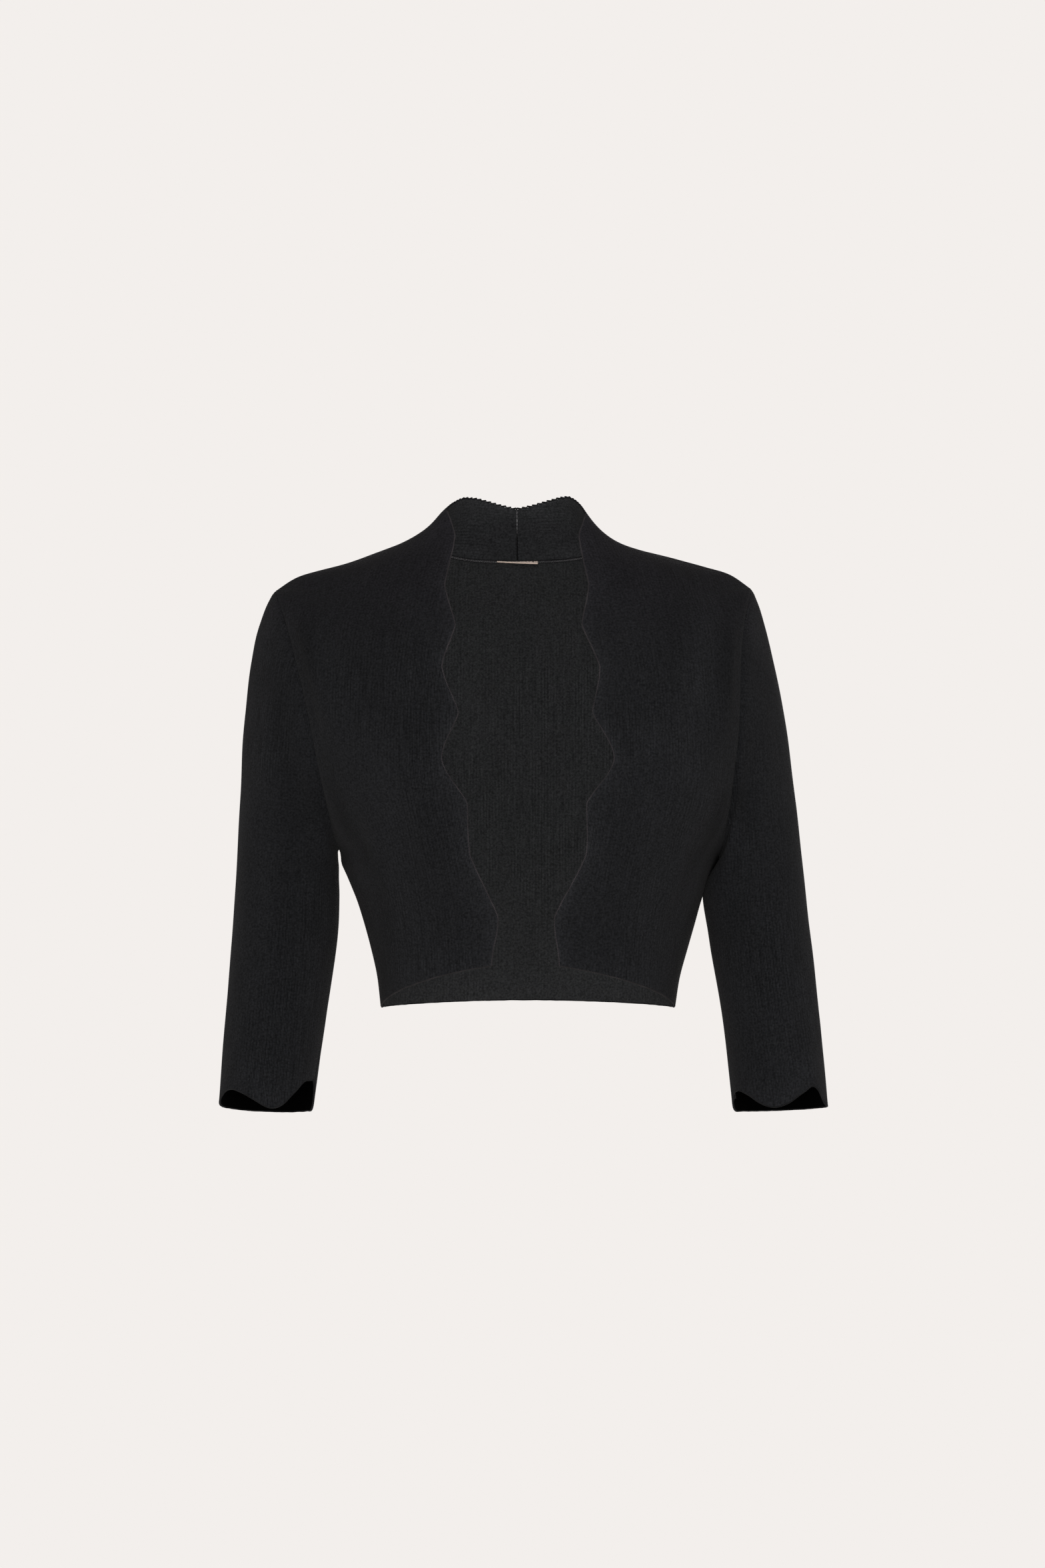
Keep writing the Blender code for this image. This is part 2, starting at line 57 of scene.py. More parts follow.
# ---- driving sizes
NECK_HALF_WIDTH = 0.076
NAPE = (0.060, -0.0175)  # Y and Z of the back neck seam at centre back
HEM_Z = -0.388
ARMHOLE_EGG = 0.15  # how much fuller the armhole is below than above
ARMHOLE_BOW = 0.0046  # how far the armhole curves in below the shoulder
EGG_FADE, BOW_FADE = 0.5, 0.3  # stations down the sleeve where each is gone
NECK_DROP_POWER = 1.5  # how quickly the neck seam falls from the neck point to the nape
STRAIGHT, ROUND, SHARP = 0.40, 0.35, 0.25  # shares of the three curves that make a scallop

# A panel's places are numbered in rows, with this many along each seam.
SIDE_ROWS, ARMHOLE_ROWS, SHOULDER_ROWS, NECK_ROWS = 7, 15, 7, 7
BEND_FROM_ROW = 10.0  # the row of the back where its bend towards the neck starts
BEND_SOFTENING = 0.2  # share of half the back over which the bend is rounded off

# A front is a row of rungs, from its sewn edge to its scalloped edge. These are the row
# numbers at which the sewn edge passes from one seam to the next.
UNDERARM_ROW = SIDE_ROWS
TIP_ROW = UNDERARM_ROW + ARMHOLE_ROWS
NECK_ROW = TIP_ROW + SHOULDER_ROWS
NAPE_ROW = NECK_ROW + NECK_ROWS


# ---- tables
def in_metres(*rows, start=1):
    """The rows as an array, with the columns from start on turned from millimetres to metres."""
    table = np.array(rows, float)
    table[:, start:] /= 1000
    return table


# Half width of the body at the side seam.
SIDE_SEAM = in_metres(  # share of the way up, half width
    (0, 120), (0.2, 123.6), (0.38, 129), (0.56, 135),
    (0.73, 140.6), (0.86, 146.2), (0.95, 151.8), (1, 155.6),
)

# The shoulder seams, from the shoulder tip, share 0, to the neck point, share 1.
SHOULDER_SEAM = {
    "right": in_metres(  # share, half width, z
        (0, 198.5, -47), (0.12, 184, -38.7), (0.26, 166.5, -33),
        (0.5, 137.3, -23.8), (0.78, 103, -10.8), (1, 76, 0),
    ),
    "left": in_metres(
        (0, 190.5, -45.5), (0.14, 175, -35), (0.3, 156, -28.7),
        (0.52, 131, -21.2), (0.78, 101.5, -14), (1, 76, -4),
    ),
}

# The middle line of the free edge, from the front hem corner to centre back, with the turning
# points of its scallops: +1 stands out, -1 falls back, 0 is on the line. The skew is how far
# both edges lie along X from their mirrored places, as worn.
FRONT_DEPTH, COLLAR_DEPTH = 5.8, 4.2  # half the depth of a scallop on the front and on the collar
FREE_EDGE = in_metres(  # row, scallop, x, y, z, skew, half depth of the scallop there
    (0, -0.5, 24, -88, -349, -2.7, FRONT_DEPTH),
    (3, 1, 28, -92, -311, -2.4, FRONT_DEPTH),
    (6, -1, 40, -103, -261, -1.1, FRONT_DEPTH),
    (9, 1, 52.8, -110, -220, -1.4, FRONT_DEPTH),
    (12, -1, 62.6, -112, -185, 0, FRONT_DEPTH),
    (15, 1, 58.5, -108, -148, -0.6, FRONT_DEPTH),
    (18, -1, 56.8, -100, -114, -1.3, FRONT_DEPTH),
    (20.7, 1, 55.9, -85, -77.5, -0.8, FRONT_DEPTH),
    (23, -0.8, 53, -68, -45, -0.8, FRONT_DEPTH),
    (26, 1, 54, -33, -5, 0, COLLAR_DEPTH),
    (28.5, -1, 52, -3, 19, 0, COLLAR_DEPTH),
    (31.5, 1, 44.5, 27, 29, 0, COLLAR_DEPTH),
    (36, -1, 0, 56, 29, 0, COLLAR_DEPTH),
    start=2,
)

# Each rung of a front is a cubic curve. These are its two middle control points. The left
# collar rolls a little lower than the right one.
FRONT_RUNGS = in_metres(  # row, x, y, z near the sewn edge, x, y, z near the free edge, drop of the left
    (0, 119.5, -52, -374, 78, -90, -356, 1.6),
    (3.5, 132, -56, -318, 80, -101, -306, 1),
    (7, 151, -65, -256, 99, -119, -247, 0),
    (11, 153, -85, -215, 107, -129, -201, 0),
    (15, 160, -84, -142, 105, -118, -142, 0),
    (19, 172, -58, -72, 100, -96, -90, 0),
    (22, 180, -28, -44, 100, -72, -56, 0),
    (25.5, 125, -26, -24, 84, -46, -18, 2),
    (28, 84, -10, -2, 67, -14, 6, 4),
    (30, 64, 12, 4, 58, 10, 13, 4),
    (32.5, 52.5, 42.5, -2, 46, 40, 13, 0),
    (36, 0, 61.5, -5, 0, 59.5, 11, 0),
)

# Each half row of the back is a cubic curve, from its sewn edge to centre back.
BACK_ROWS = in_metres(  # row, x, y, z near the sewn edge, x near centre back, y and z at centre back
    (0, 119, 48, -389.5, 62, 72, -386.8),
    (3.5, 132, 56, -325, 66, 78, -325),
    (7, 150, 61, -258, 80, 89, -258),
    (12, 152, 83, -195, 85, 98, -188),
    (17, 165, 73, -98, 85, 95, -106),
    (20, 170, 48, -58, 70, 80, -60),
    (22, 160, 22, -36, 60, 60, -20),
)

# A sleeve is a fan of rings that share the underarm, then a tube to the cuff. The first ring is
# the armhole. The outer and inner points are where the ring crosses the plane through the arm.
SLEEVE = {
    "right": in_metres(  # station, outer x, outer z, inner x, inner z, middle y, half depth, front lift
        (0, 198.5, -47, 155.6, -257.5, 0, 62, 0),
        (0.02, 204.5, -56, 157.6, -260.2, 0, 61.5, 0),
        (0.06, 212.5, -74, 157.8, -265, 0, 60, 0),
        (0.14, 221.2, -106, 157.2, -272.5, 1, 57, 1),
        (0.26, 230.8, -155, 157.1, -282, 2, 53, 2),
        (0.42, 236.2, -220, 156.6, -300, 3, 50, 3),
        (0.6, 240.7, -300, 158, -332, 0, 48, 4),
        (0.8, 245.6, -383, 166.1, -395, -9, 45, 4.5),
        (1, 250.8, -466.5, 174.2, -469, -22, 42, 8),
    ),
    "left": in_metres(
        (0, 190.5, -45.5, 155.6, -264, 0, 62, 0),
        (0.02, 194.8, -56, 157.4, -266.8, 0, 61.5, 0),
        (0.06, 199.8, -74, 156, -271.8, 0, 60, 0),
        (0.14, 206.2, -106, 152.2, -280, 1, 57, 1),
        (0.26, 211.7, -155, 147.6, -290, 2, 53, 2),
        (0.42, 218.6, -220, 146, -306, 3, 50, 3),
        (0.6, 226.6, -300, 149.4, -334, 0, 47, 4),
        (0.8, 236.3, -383, 159.8, -395, -9, 44, 4.5),
        (1, 243.5, -467.5, 167, -470.3, -22, 42, 5.9),
    ),
}

# How far the cuff's edge rises round the sleeve, 0 degrees on its outer side and 90 in front.
# It is scalloped in front and level past the ends of its table, and each sleeve is turned a little
# differently.
CUFF_SCALLOPS = {
    "right": in_metres(  # degrees, rise
        (-14, 0), (4, 1.4), (20, 5.6), (44, 10.6), (62, 7.9), (82, 0.8),
        (99, -4.5), (112, -2), (130, 9.5), (147, 19.4), (163, 21.6), (179, 23.2),
        (188, 11), (200, 1), (216, 0), (236, 0),
    ),
    "left": in_metres(
        (4, 0), (14, 0.3), (28, 3.6), (40, 12), (50, 15.4), (66, 10.5),
        (84, 2.6), (101, -0.6), (116, 2.2), (138, 11), (156, 14.9), (170, 13.3),
        (180, 9.2), (190, 3.5), (203, 0), (222, 0),
    ),
}
CUFF_FADE = 0.80  # the station where the scallops begin to shape the sleeve

# The garment stands with a slight lean, as it does on its wearer.
LEAN = in_metres(  # z, shift along X
    (-390, 4.4), (-310, 5.4), (-200, 4.6), (-150, 3),
    (-100, -1), (-50, -3.6), (30, -4.8),
    start=0,
)

# ---- sizes of the looks
SPACING = 0.003  # of the mesh over the open cloth
EDGE_STEPS = (0.00012, 0.00035, 0.00075, 0.0013, 0.0021, 0.0034)  # of the mesh from an edge inwards
CLEAR_OF_STEPS = 1.2  # the first even line lies this many times as far from the edge, or more
SIDE_LENGTH, ARMHOLE_LENGTH, SHOULDER_LENGTH, NECK_LENGTH = 0.130, 0.250, 0.130, 0.110
FRONT_WIDTH, SLEEVE_LENGTH = 0.150, 0.430  # rough lengths, to space the mesh along them
EVEN_SAMPLES = 61  # along the back's top row, to round its bend

SEAM_SINK, SEAM_SINK_REACH = 0.0004, 0.0026  # a seam draws the cloth in
SEAM_PUFF, SEAM_PUFF_PLACE, SEAM_PUFF_REACH = 0.0002, 0.0050, 0.0026  # beside it the cloth stands up
UNEVEN, UNEVEN_SCALE = 0.00055, 22.0  # soft unevenness: its height, and its waves in a metre

EDGE_RADIUS, EDGE_INSET = 0.00078, 0.00030  # the overlocked free edge
EDGE_STITCH, EDGE_STITCH_DEPTH = 0.0013, 0.13  # the depth is a share of the radius
EDGE_RING_STEP, EDGE_SIDES = 0.00040, 7
EDGE_DRIFT, EDGE_DRIFT_SCALE = 0.00022, 160.0  # how far the edge wanders in and out, and its waves
COLLAR_STEP_LENGTH, COLLAR_STEP_HEIGHT = 0.0049, 0.0013  # where the ribs end in the collar's edge
COLLAR_STEP_FALL = 0.2  # share of a step over which it falls back
COLLAR_FROM_ROW = 28.2  # where the collar's edge takes over from the front's
COLLAR_CORNERS = {"right": (31.7, 0.9, 0.0015), "left": (31.6, 0.8, 0.0006)}  # row, reach in rows, fall

# The section of a seam's allowance: how far into its panel, and inwards of the panel's middle.
SEAM_BAND = in_metres(
    (-0.15, 0.30), (-0.25, 1.00), (0.20, 1.45), (1.20, 1.60),
    (2.10, 1.45), (2.50, 1.05), (2.30, 0.72), (1.00, 0.62),
    start=0,
)
SEAM_BAND_STEP = 0.0016
SEAM_STITCH, COLLAR_STITCH = 0.0016, 0.0024  # lengths of the zigzag stitches
SEAM_THREAD, NECK_SEAM_THREAD, COLLAR_SEAM_THREAD = 0.00017, 0.00024, 0.00026  # radii of threads
SEAM_ZIGZAG, COLLAR_ZIGZAG = (0.0002, 0.0021, 0.0016), (0.0001, 0.0004, CLOTH / 2)  # from, to, height

RIB_PITCH, COURSE = 0.0013, 0.00105  # the ribs, and the height of a stitch along them

LABEL_WIDTH, LABEL_HEIGHT, LABEL_THICKNESS = 0.0345, 0.0045, 0.0006
LABEL_BELOW_SEAM, LABEL_LIFT = 0.0008, 0.0020  # it lies over the seam's allowance
LABEL_TILT = 0.045  # how far it drops towards the left side for each unit across
LABEL_EDGE_HEIGHT, LABEL_EDGE_PROUD = 0.0011, 0.0003  # its pale woven top edge
LABEL_BACK_ROWS = 3  # rows of the back that the label's place is measured on
LABEL_SAMPLES = 25, 57  # points down and across there

MEETING = 0.0002  # points of sewn edges nearer than this are one
SAME_POINT = 1e-6
TINY = 1e-12  # keeps a divisor off zero
COARSE = {"back": (19, 21), "front": (37, 13), "sleeve": (17, 25)}  # grids that are laid flat
FLATTENING_ROUNDS = 150
SMALLEST_WEIGHT = 0.05  # of a triangle's side, so that the flattening can't fold over
CREASE_SAMPLES = 33
CREASE_ENDS, CREASE_FADE = 0.05, 0.8  # how far along its fade a crease begins, and how full the fade is
CREASE_HELD = 0.009  # near a seam the cloth is held, and creases fade over this

# By panel. Each row has three places on a line, then its half width and height. A place is a row
# and the percent across on the body, and percents of the station and the turn on a sleeve.
CREASES = {
    "front_right": (
        (19.5, 16, 16.5, 19, 13, 33, 11, 2.2), (18.5, 5, 15.5, 6, 12.5, 9, 7, -1.8),
        (18, 50, 15.7, 56, 13.5, 62, 20, -2), (9.8, 45, 7, 47, 3.5, 42, 9, 1.6),
        (9.5, 62, 6.5, 66, 2.5, 60, 12, -1.8),
    ),
    "front_left": (
        (18.5, 12, 16, 18, 13.2, 30, 12, 2.2), (19, 5, 16.5, 5, 14, 7, 7, -1.8),
        (13, 50, 12.2, 40, 11.5, 30, 10, 1.2), (7.3, 47, 5, 46, 2.5, 47, 9, 1.4),
        (8.2, 4, 9.3, 15, 10.2, 30, 6, -1.3),
    ),
    "sleeve_right": (
        (10, 42, 22, 46, 36, 40, 8, -1.4), (6, 66, 20, 68, 34, 60, 10, 1.2),
        (50, 30, 56, 52, 60, 74, 8, -1.2), (60, 34, 66, 54, 68, 78, 9, 1.1),
        (14, 146, 26, 152, 40, 150, 9, -1.4), (46, 130, 52, 150, 55, 172, 8, -1.5),
        (56, 128, 62, 150, 66, 170, 9, 1.4),
    ),
    "sleeve_left": (
        (10, 42, 22, 46, 36, 40, 8, -1.4), (5, 62, 18, 66, 32, 58, 10, 1.2),
        (48, 30, 53, 50, 58, 70, 8, -1.1), (58, 34, 63, 54, 66, 74, 9, 1),
        (12, 148, 24, 154, 38, 150, 9, -1.4), (44, 132, 51, 150, 54, 170, 8, -1.5),
        (54, 130, 61, 150, 65, 168, 9, 1.4),
    ),
    "back": (
        (18.5, 6, 16, 10, 13, 18, 8, -1.6), (18, 16, 15, 22, 12, 36, 12, 1.8),
        (10, 10, 8, 30, 6.6, 55, 10, -1.6), (6.5, 8, 5.2, 26, 4.4, 44, 9, 1.4),
        (18.8, 195, 16.4, 190, 13.4, 180, 8, -1.6), (18.2, 184, 15.2, 178, 12.4, 166, 12, 1.8),
        (9.6, 190, 7.8, 172, 6.2, 150, 10, -1.5), (6, 192, 5, 174, 4, 158, 9, 1.3),
        (12.5, 94, 9, 100, 5, 104, 18, -1.4),
    ),
}

PAINTED_LIGHT_AND_SHADE = {  # the same, with how much lighter or darker the knit is painted, in percent, in place of a height: soft zones of painted light and shade
    "front_right": (
        (19.2, 20, 17, 16, 14.4, 10, 10, -32), (18, 48, 16, 56, 13.8, 66, 15, -16),
        (14, 52, 12.3, 59, 10.6, 53, 14, 10), (18, 90, 14.8, 86, 11.2, 85, 14, -10),
        (12.8, 12, 9.2, 25, 5.6, 42, 14, -38), (6.4, 44, 3.8, 36, 1.6, 32, 13, -22),
        (22.6, 68, 21.2, 78, 20.4, 92, 12, 16), (30.4, 62, 32.4, 72, 33.8, 70, 12, 14),
        (30.4, 6, 32.6, 5, 34.8, 7, 8, 26), (25.4, 14, 23.8, 26, 22.4, 36, 14, -8),
        (3, 3, 1.2, 5, 0.2, 10, 12, 30), (35.4, 100, 35.8, 70, 36, 40, 8, -12),
        (11.2, 60, 9.6, 61, 7.4, 60, 9, 7), (9.8, 82, 5.6, 77, 1.6, 66, 19, -13),
        (0.4, 30, 0.3, 60, 0.3, 92, 14, 13), (25.4, 50, 26.5, 72, 27.6, 86, 12, 22),
        (27.8, 62, 26.6, 84, 24.8, 96, 12, 14),
    ),
    "front_left": (
        (18.8, 20, 16.2, 19, 13.4, 17, 10, -24), (22.4, 38, 17.4, 42, 11.6, 50, 14, 24),
        (14.6, 76, 12.8, 59, 11.6, 40, 14, 20), (25.4, 72, 21.4, 74, 16.8, 84, 24, 20),
        (15, 92, 13.2, 90, 12.2, 86, 7, -10), (12.4, 7, 9.2, 22, 4.4, 42, 14, -44),
        (14.6, 70, 13.4, 75, 12, 80, 10, 20), (30.4, 62, 32.2, 66, 33.8, 64, 12, 16),
        (30.2, 8, 32.6, 6, 34.8, 7, 9, 38), (26.6, 96, 24.2, 92, 20.8, 92, 12, 24),
        (24.8, 10, 22.8, 20, 21, 24, 14, 16), (24.4, 68, 23.3, 78, 22.4, 86, 10, -14),
        (3, 2, 1.2, 5, 0.2, 10, 12, 40), (35.4, 100, 35.8, 70, 36, 40, 8, -12),
        (8.6, 90, 5, 79, 2.8, 72, 19, -10), (10.4, 78, 8.3, 66, 6, 56, 10, 8),
        (0.4, 30, 0.3, 60, 0.3, 92, 14, 15), (24.8, 42, 25.8, 64, 27.4, 80, 14, 22),
    ),
    "sleeve_right": (
        (3, 70, 11, 62, 18, 50, 12, -20), (2, 36, 10, 32, 20, 30, 9, -16),
        (10, 46, 22, 46, 40, 44, 19, -24), (26, 18, 54, 20, 84, 20, 12, 20),
        (40, 32, 50, 33, 60, 34, 8, 13), (42, 49, 58, 50, 78, 49, 11, -12),
        (0, 90, 4, 84, 10, 86, 10, 22), (4, 94, 50, 92, 96, 90, 13, 24),
        (95, 70, 98, 50, 97, 30, 10, 22), (4, 140, 14, 152, 34, 154, 16, -16),
    ),
    "sleeve_left": (
        (3, 50, 10, 40, 20, 36, 14, -18), (28, 16, 54, 18, 84, 18, 12, 16),
        (66, 64, 86, 66, 98, 60, 24, 10), (0, 92, 4, 82, 12, 84, 11, 36),
        (4, 36, 16, 42, 28, 40, 12, -14), (78, 50, 90, 52, 98, 50, 12, 10),
        (4, 94, 50, 90, 96, 88, 14, 24), (92, 84, 98, 58, 98, 30, 11, 28),
        (4, 140, 14, 152, 34, 154, 16, -16),
    ),
    "back": (
        (18, 16, 15, 22, 12, 34, 13, 12), (18.4, 6, 15.6, 7, 12.8, 10, 9, -13),
        (18, 184, 15, 178, 12, 166, 13, 12), (18.4, 194, 15.6, 193, 12.8, 190, 9, -13),
        (11, 80, 9.2, 81, 7.4, 90, 13, 7), (9.6, 114, 8.4, 112, 7, 106, 13, 9),
        (5.4, 104, 3, 102, 0.7, 100, 22, -13), (17.6, 80, 14, 80, 10.4, 82, 16, 11),
        (15, 122, 12.2, 120, 9, 114, 16, 11),
    ),
}

UNDERARM_Z, UNDERARM_HELD = -0.2575, 0.012  # above this the sides keep to the armhole
SWELLS = (  # panels, centre, reach along each axis, height: where the worn cloth fills out or sinks
    ("front_right back", (-150, 0, -272), (45, 60, 34), 4.2),
    ("front_left back", (160, 0, -285), (45, 60, 40), 1.2),
    ("front_right", (-62, -10, 16), (18, 35, 13), 4),
    ("front_left", (54, -10, 18), (18, 35, 14), 2),
    ("front_right", (-53.5, 15, 22.5), (9, 40, 9), 0.8),
    ("front_left", (43.5, 15, 22.5), (9, 40, 9), 0.8),
    ("sleeve_left", (150, -10, -286), (22, 45, 24), 4.2),
    ("front_right back", (-97, 0, -6), (20, 40, 20), -1.2),
    ("front_right back sleeve_right", (-176, 0, -36), (26, 40, 22), 1.6),
    ("front_left back sleeve_left", (164, 0, -36), (26, 40, 22), 1.1),
    ("front_left back", (79, 0, -6), (20, 40, 20), -2.4),
)

SLEEVE_SHADE, SLEEVE_SHADE_FROM, SLEEVE_SHADE_TO = 0.985, 0.15, 0.75  # painted shade on a sleeve's inner face, deepening towards the cuff
EDGE_GLOW, EDGE_GLOW_REACH = 0.52, 0.009  # the knit is lighter beside a front's free edge, fading over this reach

WANDER, WANDER_SCALE = 0.5, 60.0  # how far ribs stray, in ribs, and its waves in a metre
RELIEF_SCALE, RELIEF_NOISE = 9.0, (0.42, 0.62)  # patches where the ribs show less
RELIEF_LEAST = 0.30  # and how little they show there
RIB_POWER = 0.55  # a rib is rounder than its groove is wide
STITCH_LEAN, STITCH_DEPTH = 0.9, 0.35  # slant of the V stitches, and their depth along a rib
FUZZ_SCALE, FUZZ_DEPTH = 2600.0, 0.35
RIB_BUMP = 0.00028  # height of the ribs
KNIT_SHEEN, SHEEN_ROUGHNESS, SHEEN_TINT = 0.02, 0.55, (1.0, 0.97, 0.95, 1.0)
MIDDLE_TONE = 0.62  # share of the crest's colour between groove and crest
MOTTLE_SCALE, MOTTLE = 620.0, 0.40  # the knit's fine unevenness
CLOUD_SCALE, CLOUD = 16.0, 0.05  # and its broad unevenness
WALE_RUN, WALE_SCALE, WALE_CONTRAST = 0.030, 0.9, 0.20  # how far a lighter or darker wale runs
PAIR_CONTRAST = 0.13  # between every other wale
SHOULDER_TINT = (1.0, 0.93, 1.0, 1.0)  # the knit is tinted a little magenta towards the shoulders
TINT_FROM, TINT_TO = -0.105, -0.015  # heights where the tint begins and is full

THREAD_TWIST = 0.0034  # how far round a seam or an edge its threads shift by one
THREAD_WANDER, THREAD_WANDER_SCALE = 0.8, 300.0  # how far threads stray, in threads
THREAD_POWER, THREAD_BUMP = 0.7, 0.00012
THREAD_FUZZ_SCALE, THREAD_FUZZ = 2200.0, 0.4
PATCH_SCALE, PATCH_NOISE = 75.0, (0.38, 0.66)  # patches where the threads are painted lighter or darker, as painted light
BAND_PITCH, FINE_PITCH = 0.0008, 0.0006  # of the threads in a seam's allowance and its zigzag
DASH_PITCH = 0.0034  # of the pale dashes on the collar seam
SEAM_DASHES = (0.002, 0.016)  # heights between which they begin to show
FLOAT_PITCH, TWILL_ACROSS, TWILL_UP = 0.0003, 0.0006, 0.0005  # of the satin tape
TAPE_BUMP, TAPE_CLOUD_SCALE, TAPE_CLOUD = 0.00006, 150.0, 0.15
NOISE_LOW, NOISE_HIGH = 0.3, 0.7  # most of a noise lies between these

AMBIENT = 0.42  # of the backdrop's light, round about
BACKDROP = (0.896, 0.863, 0.839, 1.0)
FLOOR_Z, FLOOR_RADIUS, FLOOR_SIDES, FLOOR_GREY = -3.0, 14.0, 96, 0.5
LAMP_TARGET = (0.0, 0.0, -0.2)
LAMPS = (  # name, place, size, power, what casts its shadows
    ("front_softbox", (0.0, -3.0, -0.25), (2.4, 1.8), 63.0, "behind_fronts"),
    ("back_softbox", (0.3, 3.0, 0.5), (2.4, 1.8), 48.0, "all"),
    ("side_softbox_right", (-2.6, -0.3, 0.3), (0.8, 1.8), 13.0, "all"),
    ("side_softbox_left", (2.6, -0.3, 0.3), (0.8, 1.8), 13.0, "all"),
)
CAMERA_PLACE, LENS, SENSOR = (0.0, -2.7, -0.205), 75.555, 36.0


# ---- curves
def smooth(table, at):
    """The table's further columns at the given values of its first column, on a smooth curve."""
    knots, values = table[:, 0], table[:, 1:]
    slopes = np.gradient(values, knots, axis=0)
    at = np.clip(np.atleast_1d(np.asarray(at, float)), knots[0], knots[-1])
    left = np.clip(np.searchsorted(knots, at, side="right") - 1, 0, len(knots) - 2)
    span = (knots[left + 1] - knots[left])[:, None]
    t = (at - knots[left])[:, None] / span
    rise = t * t * (3 - 2 * t)
    return (
        values[left] * (1 - rise)
        + values[left + 1] * rise
        + span * slopes[left] * (t * (1 - t) ** 2)
        - span * slopes[left + 1] * (t * t * (1 - t))
    )


def ease(t):
    t = np.clip(t, 0.0, 1.0)
    return t * t * (3 - 2 * t)


def cubic(p0, p1, p2, p3, t):
    """Points at t along the cubic curves with these control points, as rows by columns."""
    t = np.asarray(t, float)[None, :, None]
    p0, p1, p2, p3 = (p[:, None, :] for p in (p0, p1, p2, p3))
    return (1 - t) ** 3 * p0 + 3 * t * (1 - t) ** 2 * p1 + 3 * t * t * (1 - t) * p2 + t**3 * p3


def unit(vectors):
    return vectors / np.maximum(np.linalg.norm(vectors, axis=-1, keepdims=True), TINY)


def lengths_along(points, axis=0):
    """How far along its line of points each point lies."""
    steps = np.linalg.norm(np.diff(points, axis=axis), axis=-1)
    return np.insert(np.cumsum(steps, axis=axis), 0, 0, axis=axis)


def interpolated(wanted, places, points):
    """The points, known at places, at the wanted places along straight lines."""
    return np.stack([np.interp(wanted, places, points[:, k]) for k in range(3)], axis=-1)


# ---- seams, on the +X side
def sleeve_ring(side, station, degrees):
    """Points round the sleeve's rings: 0 degrees outside, 90 in front, 180 inside, 270 behind."""
    table = smooth(SLEEVE[side], station)[:, None, :]
    outer_x, outer_z, inner_x, inner_z, middle_y, half_depth, lift = np.moveaxis(table, -1, 0)
    turn = np.radians(degrees)[None, :]
    side_way, front_way = np.cos(turn), np.sin(turn)
    station = np.asarray(station, float)[:, None]
    egg = ARMHOLE_EGG * (1 - ease(station / EGG_FADE))
    bow_shape = (1 + side_way) ** 2 * (1 - side_way**2) * 16 / 27  # 1 at its highest
    bow = ARMHOLE_BOW * (1 - ease(station / BOW_FADE)) * bow_shape
    x = (outer_x + inner_x) / 2 + (outer_x - inner_x) / 2 * side_way - bow
    y = middle_y - half_depth * front_way * (1 - egg * side_way)
    z = (outer_z + inner_z) / 2 + (outer_z - inner_z) / 2 * side_way + lift * front_way
    scallops = CUFF_SCALLOPS[side]
    wrapped = np.where(degrees > scallops[-1, 0], degrees - 360.0, degrees)
    fade = ease((station - CUFF_FADE) / (1 - CUFF_FADE))
    z = z + fade * smooth(scallops, wrapped)[:, 0][None, :]
    return np.stack([x, y, z], axis=-1)


def armhole(side, share, front):
    """The armhole from the underarm, share 0, to the shoulder tip, share 1."""
    degrees = 180.0 * (1 - share) if front else 180.0 + 180.0 * share
    return sleeve_ring(side, [0.0], degrees)[0]


def side_seam(side, share):
    """From the hem to the underarm."""
    underarm_z = SLEEVE[side][0, 4]
    z = HEM_Z + (underarm_z - HEM_Z) * share
    return np.stack([smooth(SIDE_SEAM, share)[:, 0], np.zeros_like(z), z], axis=-1)


def shoulder_seam(side, share):
    """From the shoulder tip to the neck point."""
    x, z = smooth(SHOULDER_SEAM[side], share).T
    return np.stack([x, np.zeros_like(x), z], axis=-1)


def neck_seam(side, share):
    """From the neck point to the nape."""
    neck_z = SHOULDER_SEAM[side][-1, 2]
    turn = math.pi / 2 * share
    z = NAPE[1] + (neck_z - NAPE[1]) * (1 - np.sin(turn)) ** NECK_DROP_POWER
    return np.stack([NECK_HALF_WIDTH * np.cos(turn), NAPE[0] * np.sin(turn), z], axis=-1)


def sewn_edge(side, rows, front):
    """The edge that a front or half the back is sewn by, at the given row numbers."""
    edge = np.zeros((len(rows), 3))
    for first, last, seam in (
        (0, UNDERARM_ROW, lambda s: side_seam(side, s)),
        (UNDERARM_ROW, TIP_ROW, lambda s: armhole(side, s, front)),
        (TIP_ROW, NECK_ROW, lambda s: shoulder_seam(side, s)),
        (NECK_ROW, NAPE_ROW, lambda s: neck_seam(side, s)),
    ):
        here = (rows >= first) & (rows <= last)
        if here.any():
            edge[here] = seam((rows[here] - first) / (last - first))
    return edge


def free_edge(side, rows, inner_handle):
    """The scalloped edge. It runs nearly straight between its turns, and is a little sharper where
    it stands out than where it falls back."""
    table = smooth(FREE_EDGE, rows)
    base = table[:, 1:4]
    base[:, 0] += SIDES[side] * table[:, 4]
    knots, turns, depths = (FREE_EDGE[:, c] for c in (0, 1, 6))
    left = np.clip(np.searchsorted(knots, rows, side="right") - 1, 0, len(knots) - 2)
    t = (rows - knots[left]) / (knots[left + 1] - knots[left])
    t = np.where(turns[left + 1] > turns[left], t, 1 - t)
    shape = STRAIGHT * t + ROUND * ease(t) + SHARP * (1 - np.cos(t * math.pi / 2))
    low, high = np.minimum(turns[left], turns[left + 1]), np.maximum(turns[left], turns[left + 1])
    offset = (low + (high - low) * shape) * np.interp(rows, knots, depths)
    return base + unit(base - inner_handle) * offset[:, None]


# ---- panels, as grids of points
def placed(grid, side):
    """The grid on its own side of the body, as the leaning body carries it."""
    grid[..., 0] *= SIDES[side]
    grid[..., 0] += smooth(LEAN, grid[..., 2].ravel()).reshape(grid.shape[:-1])
    return grid


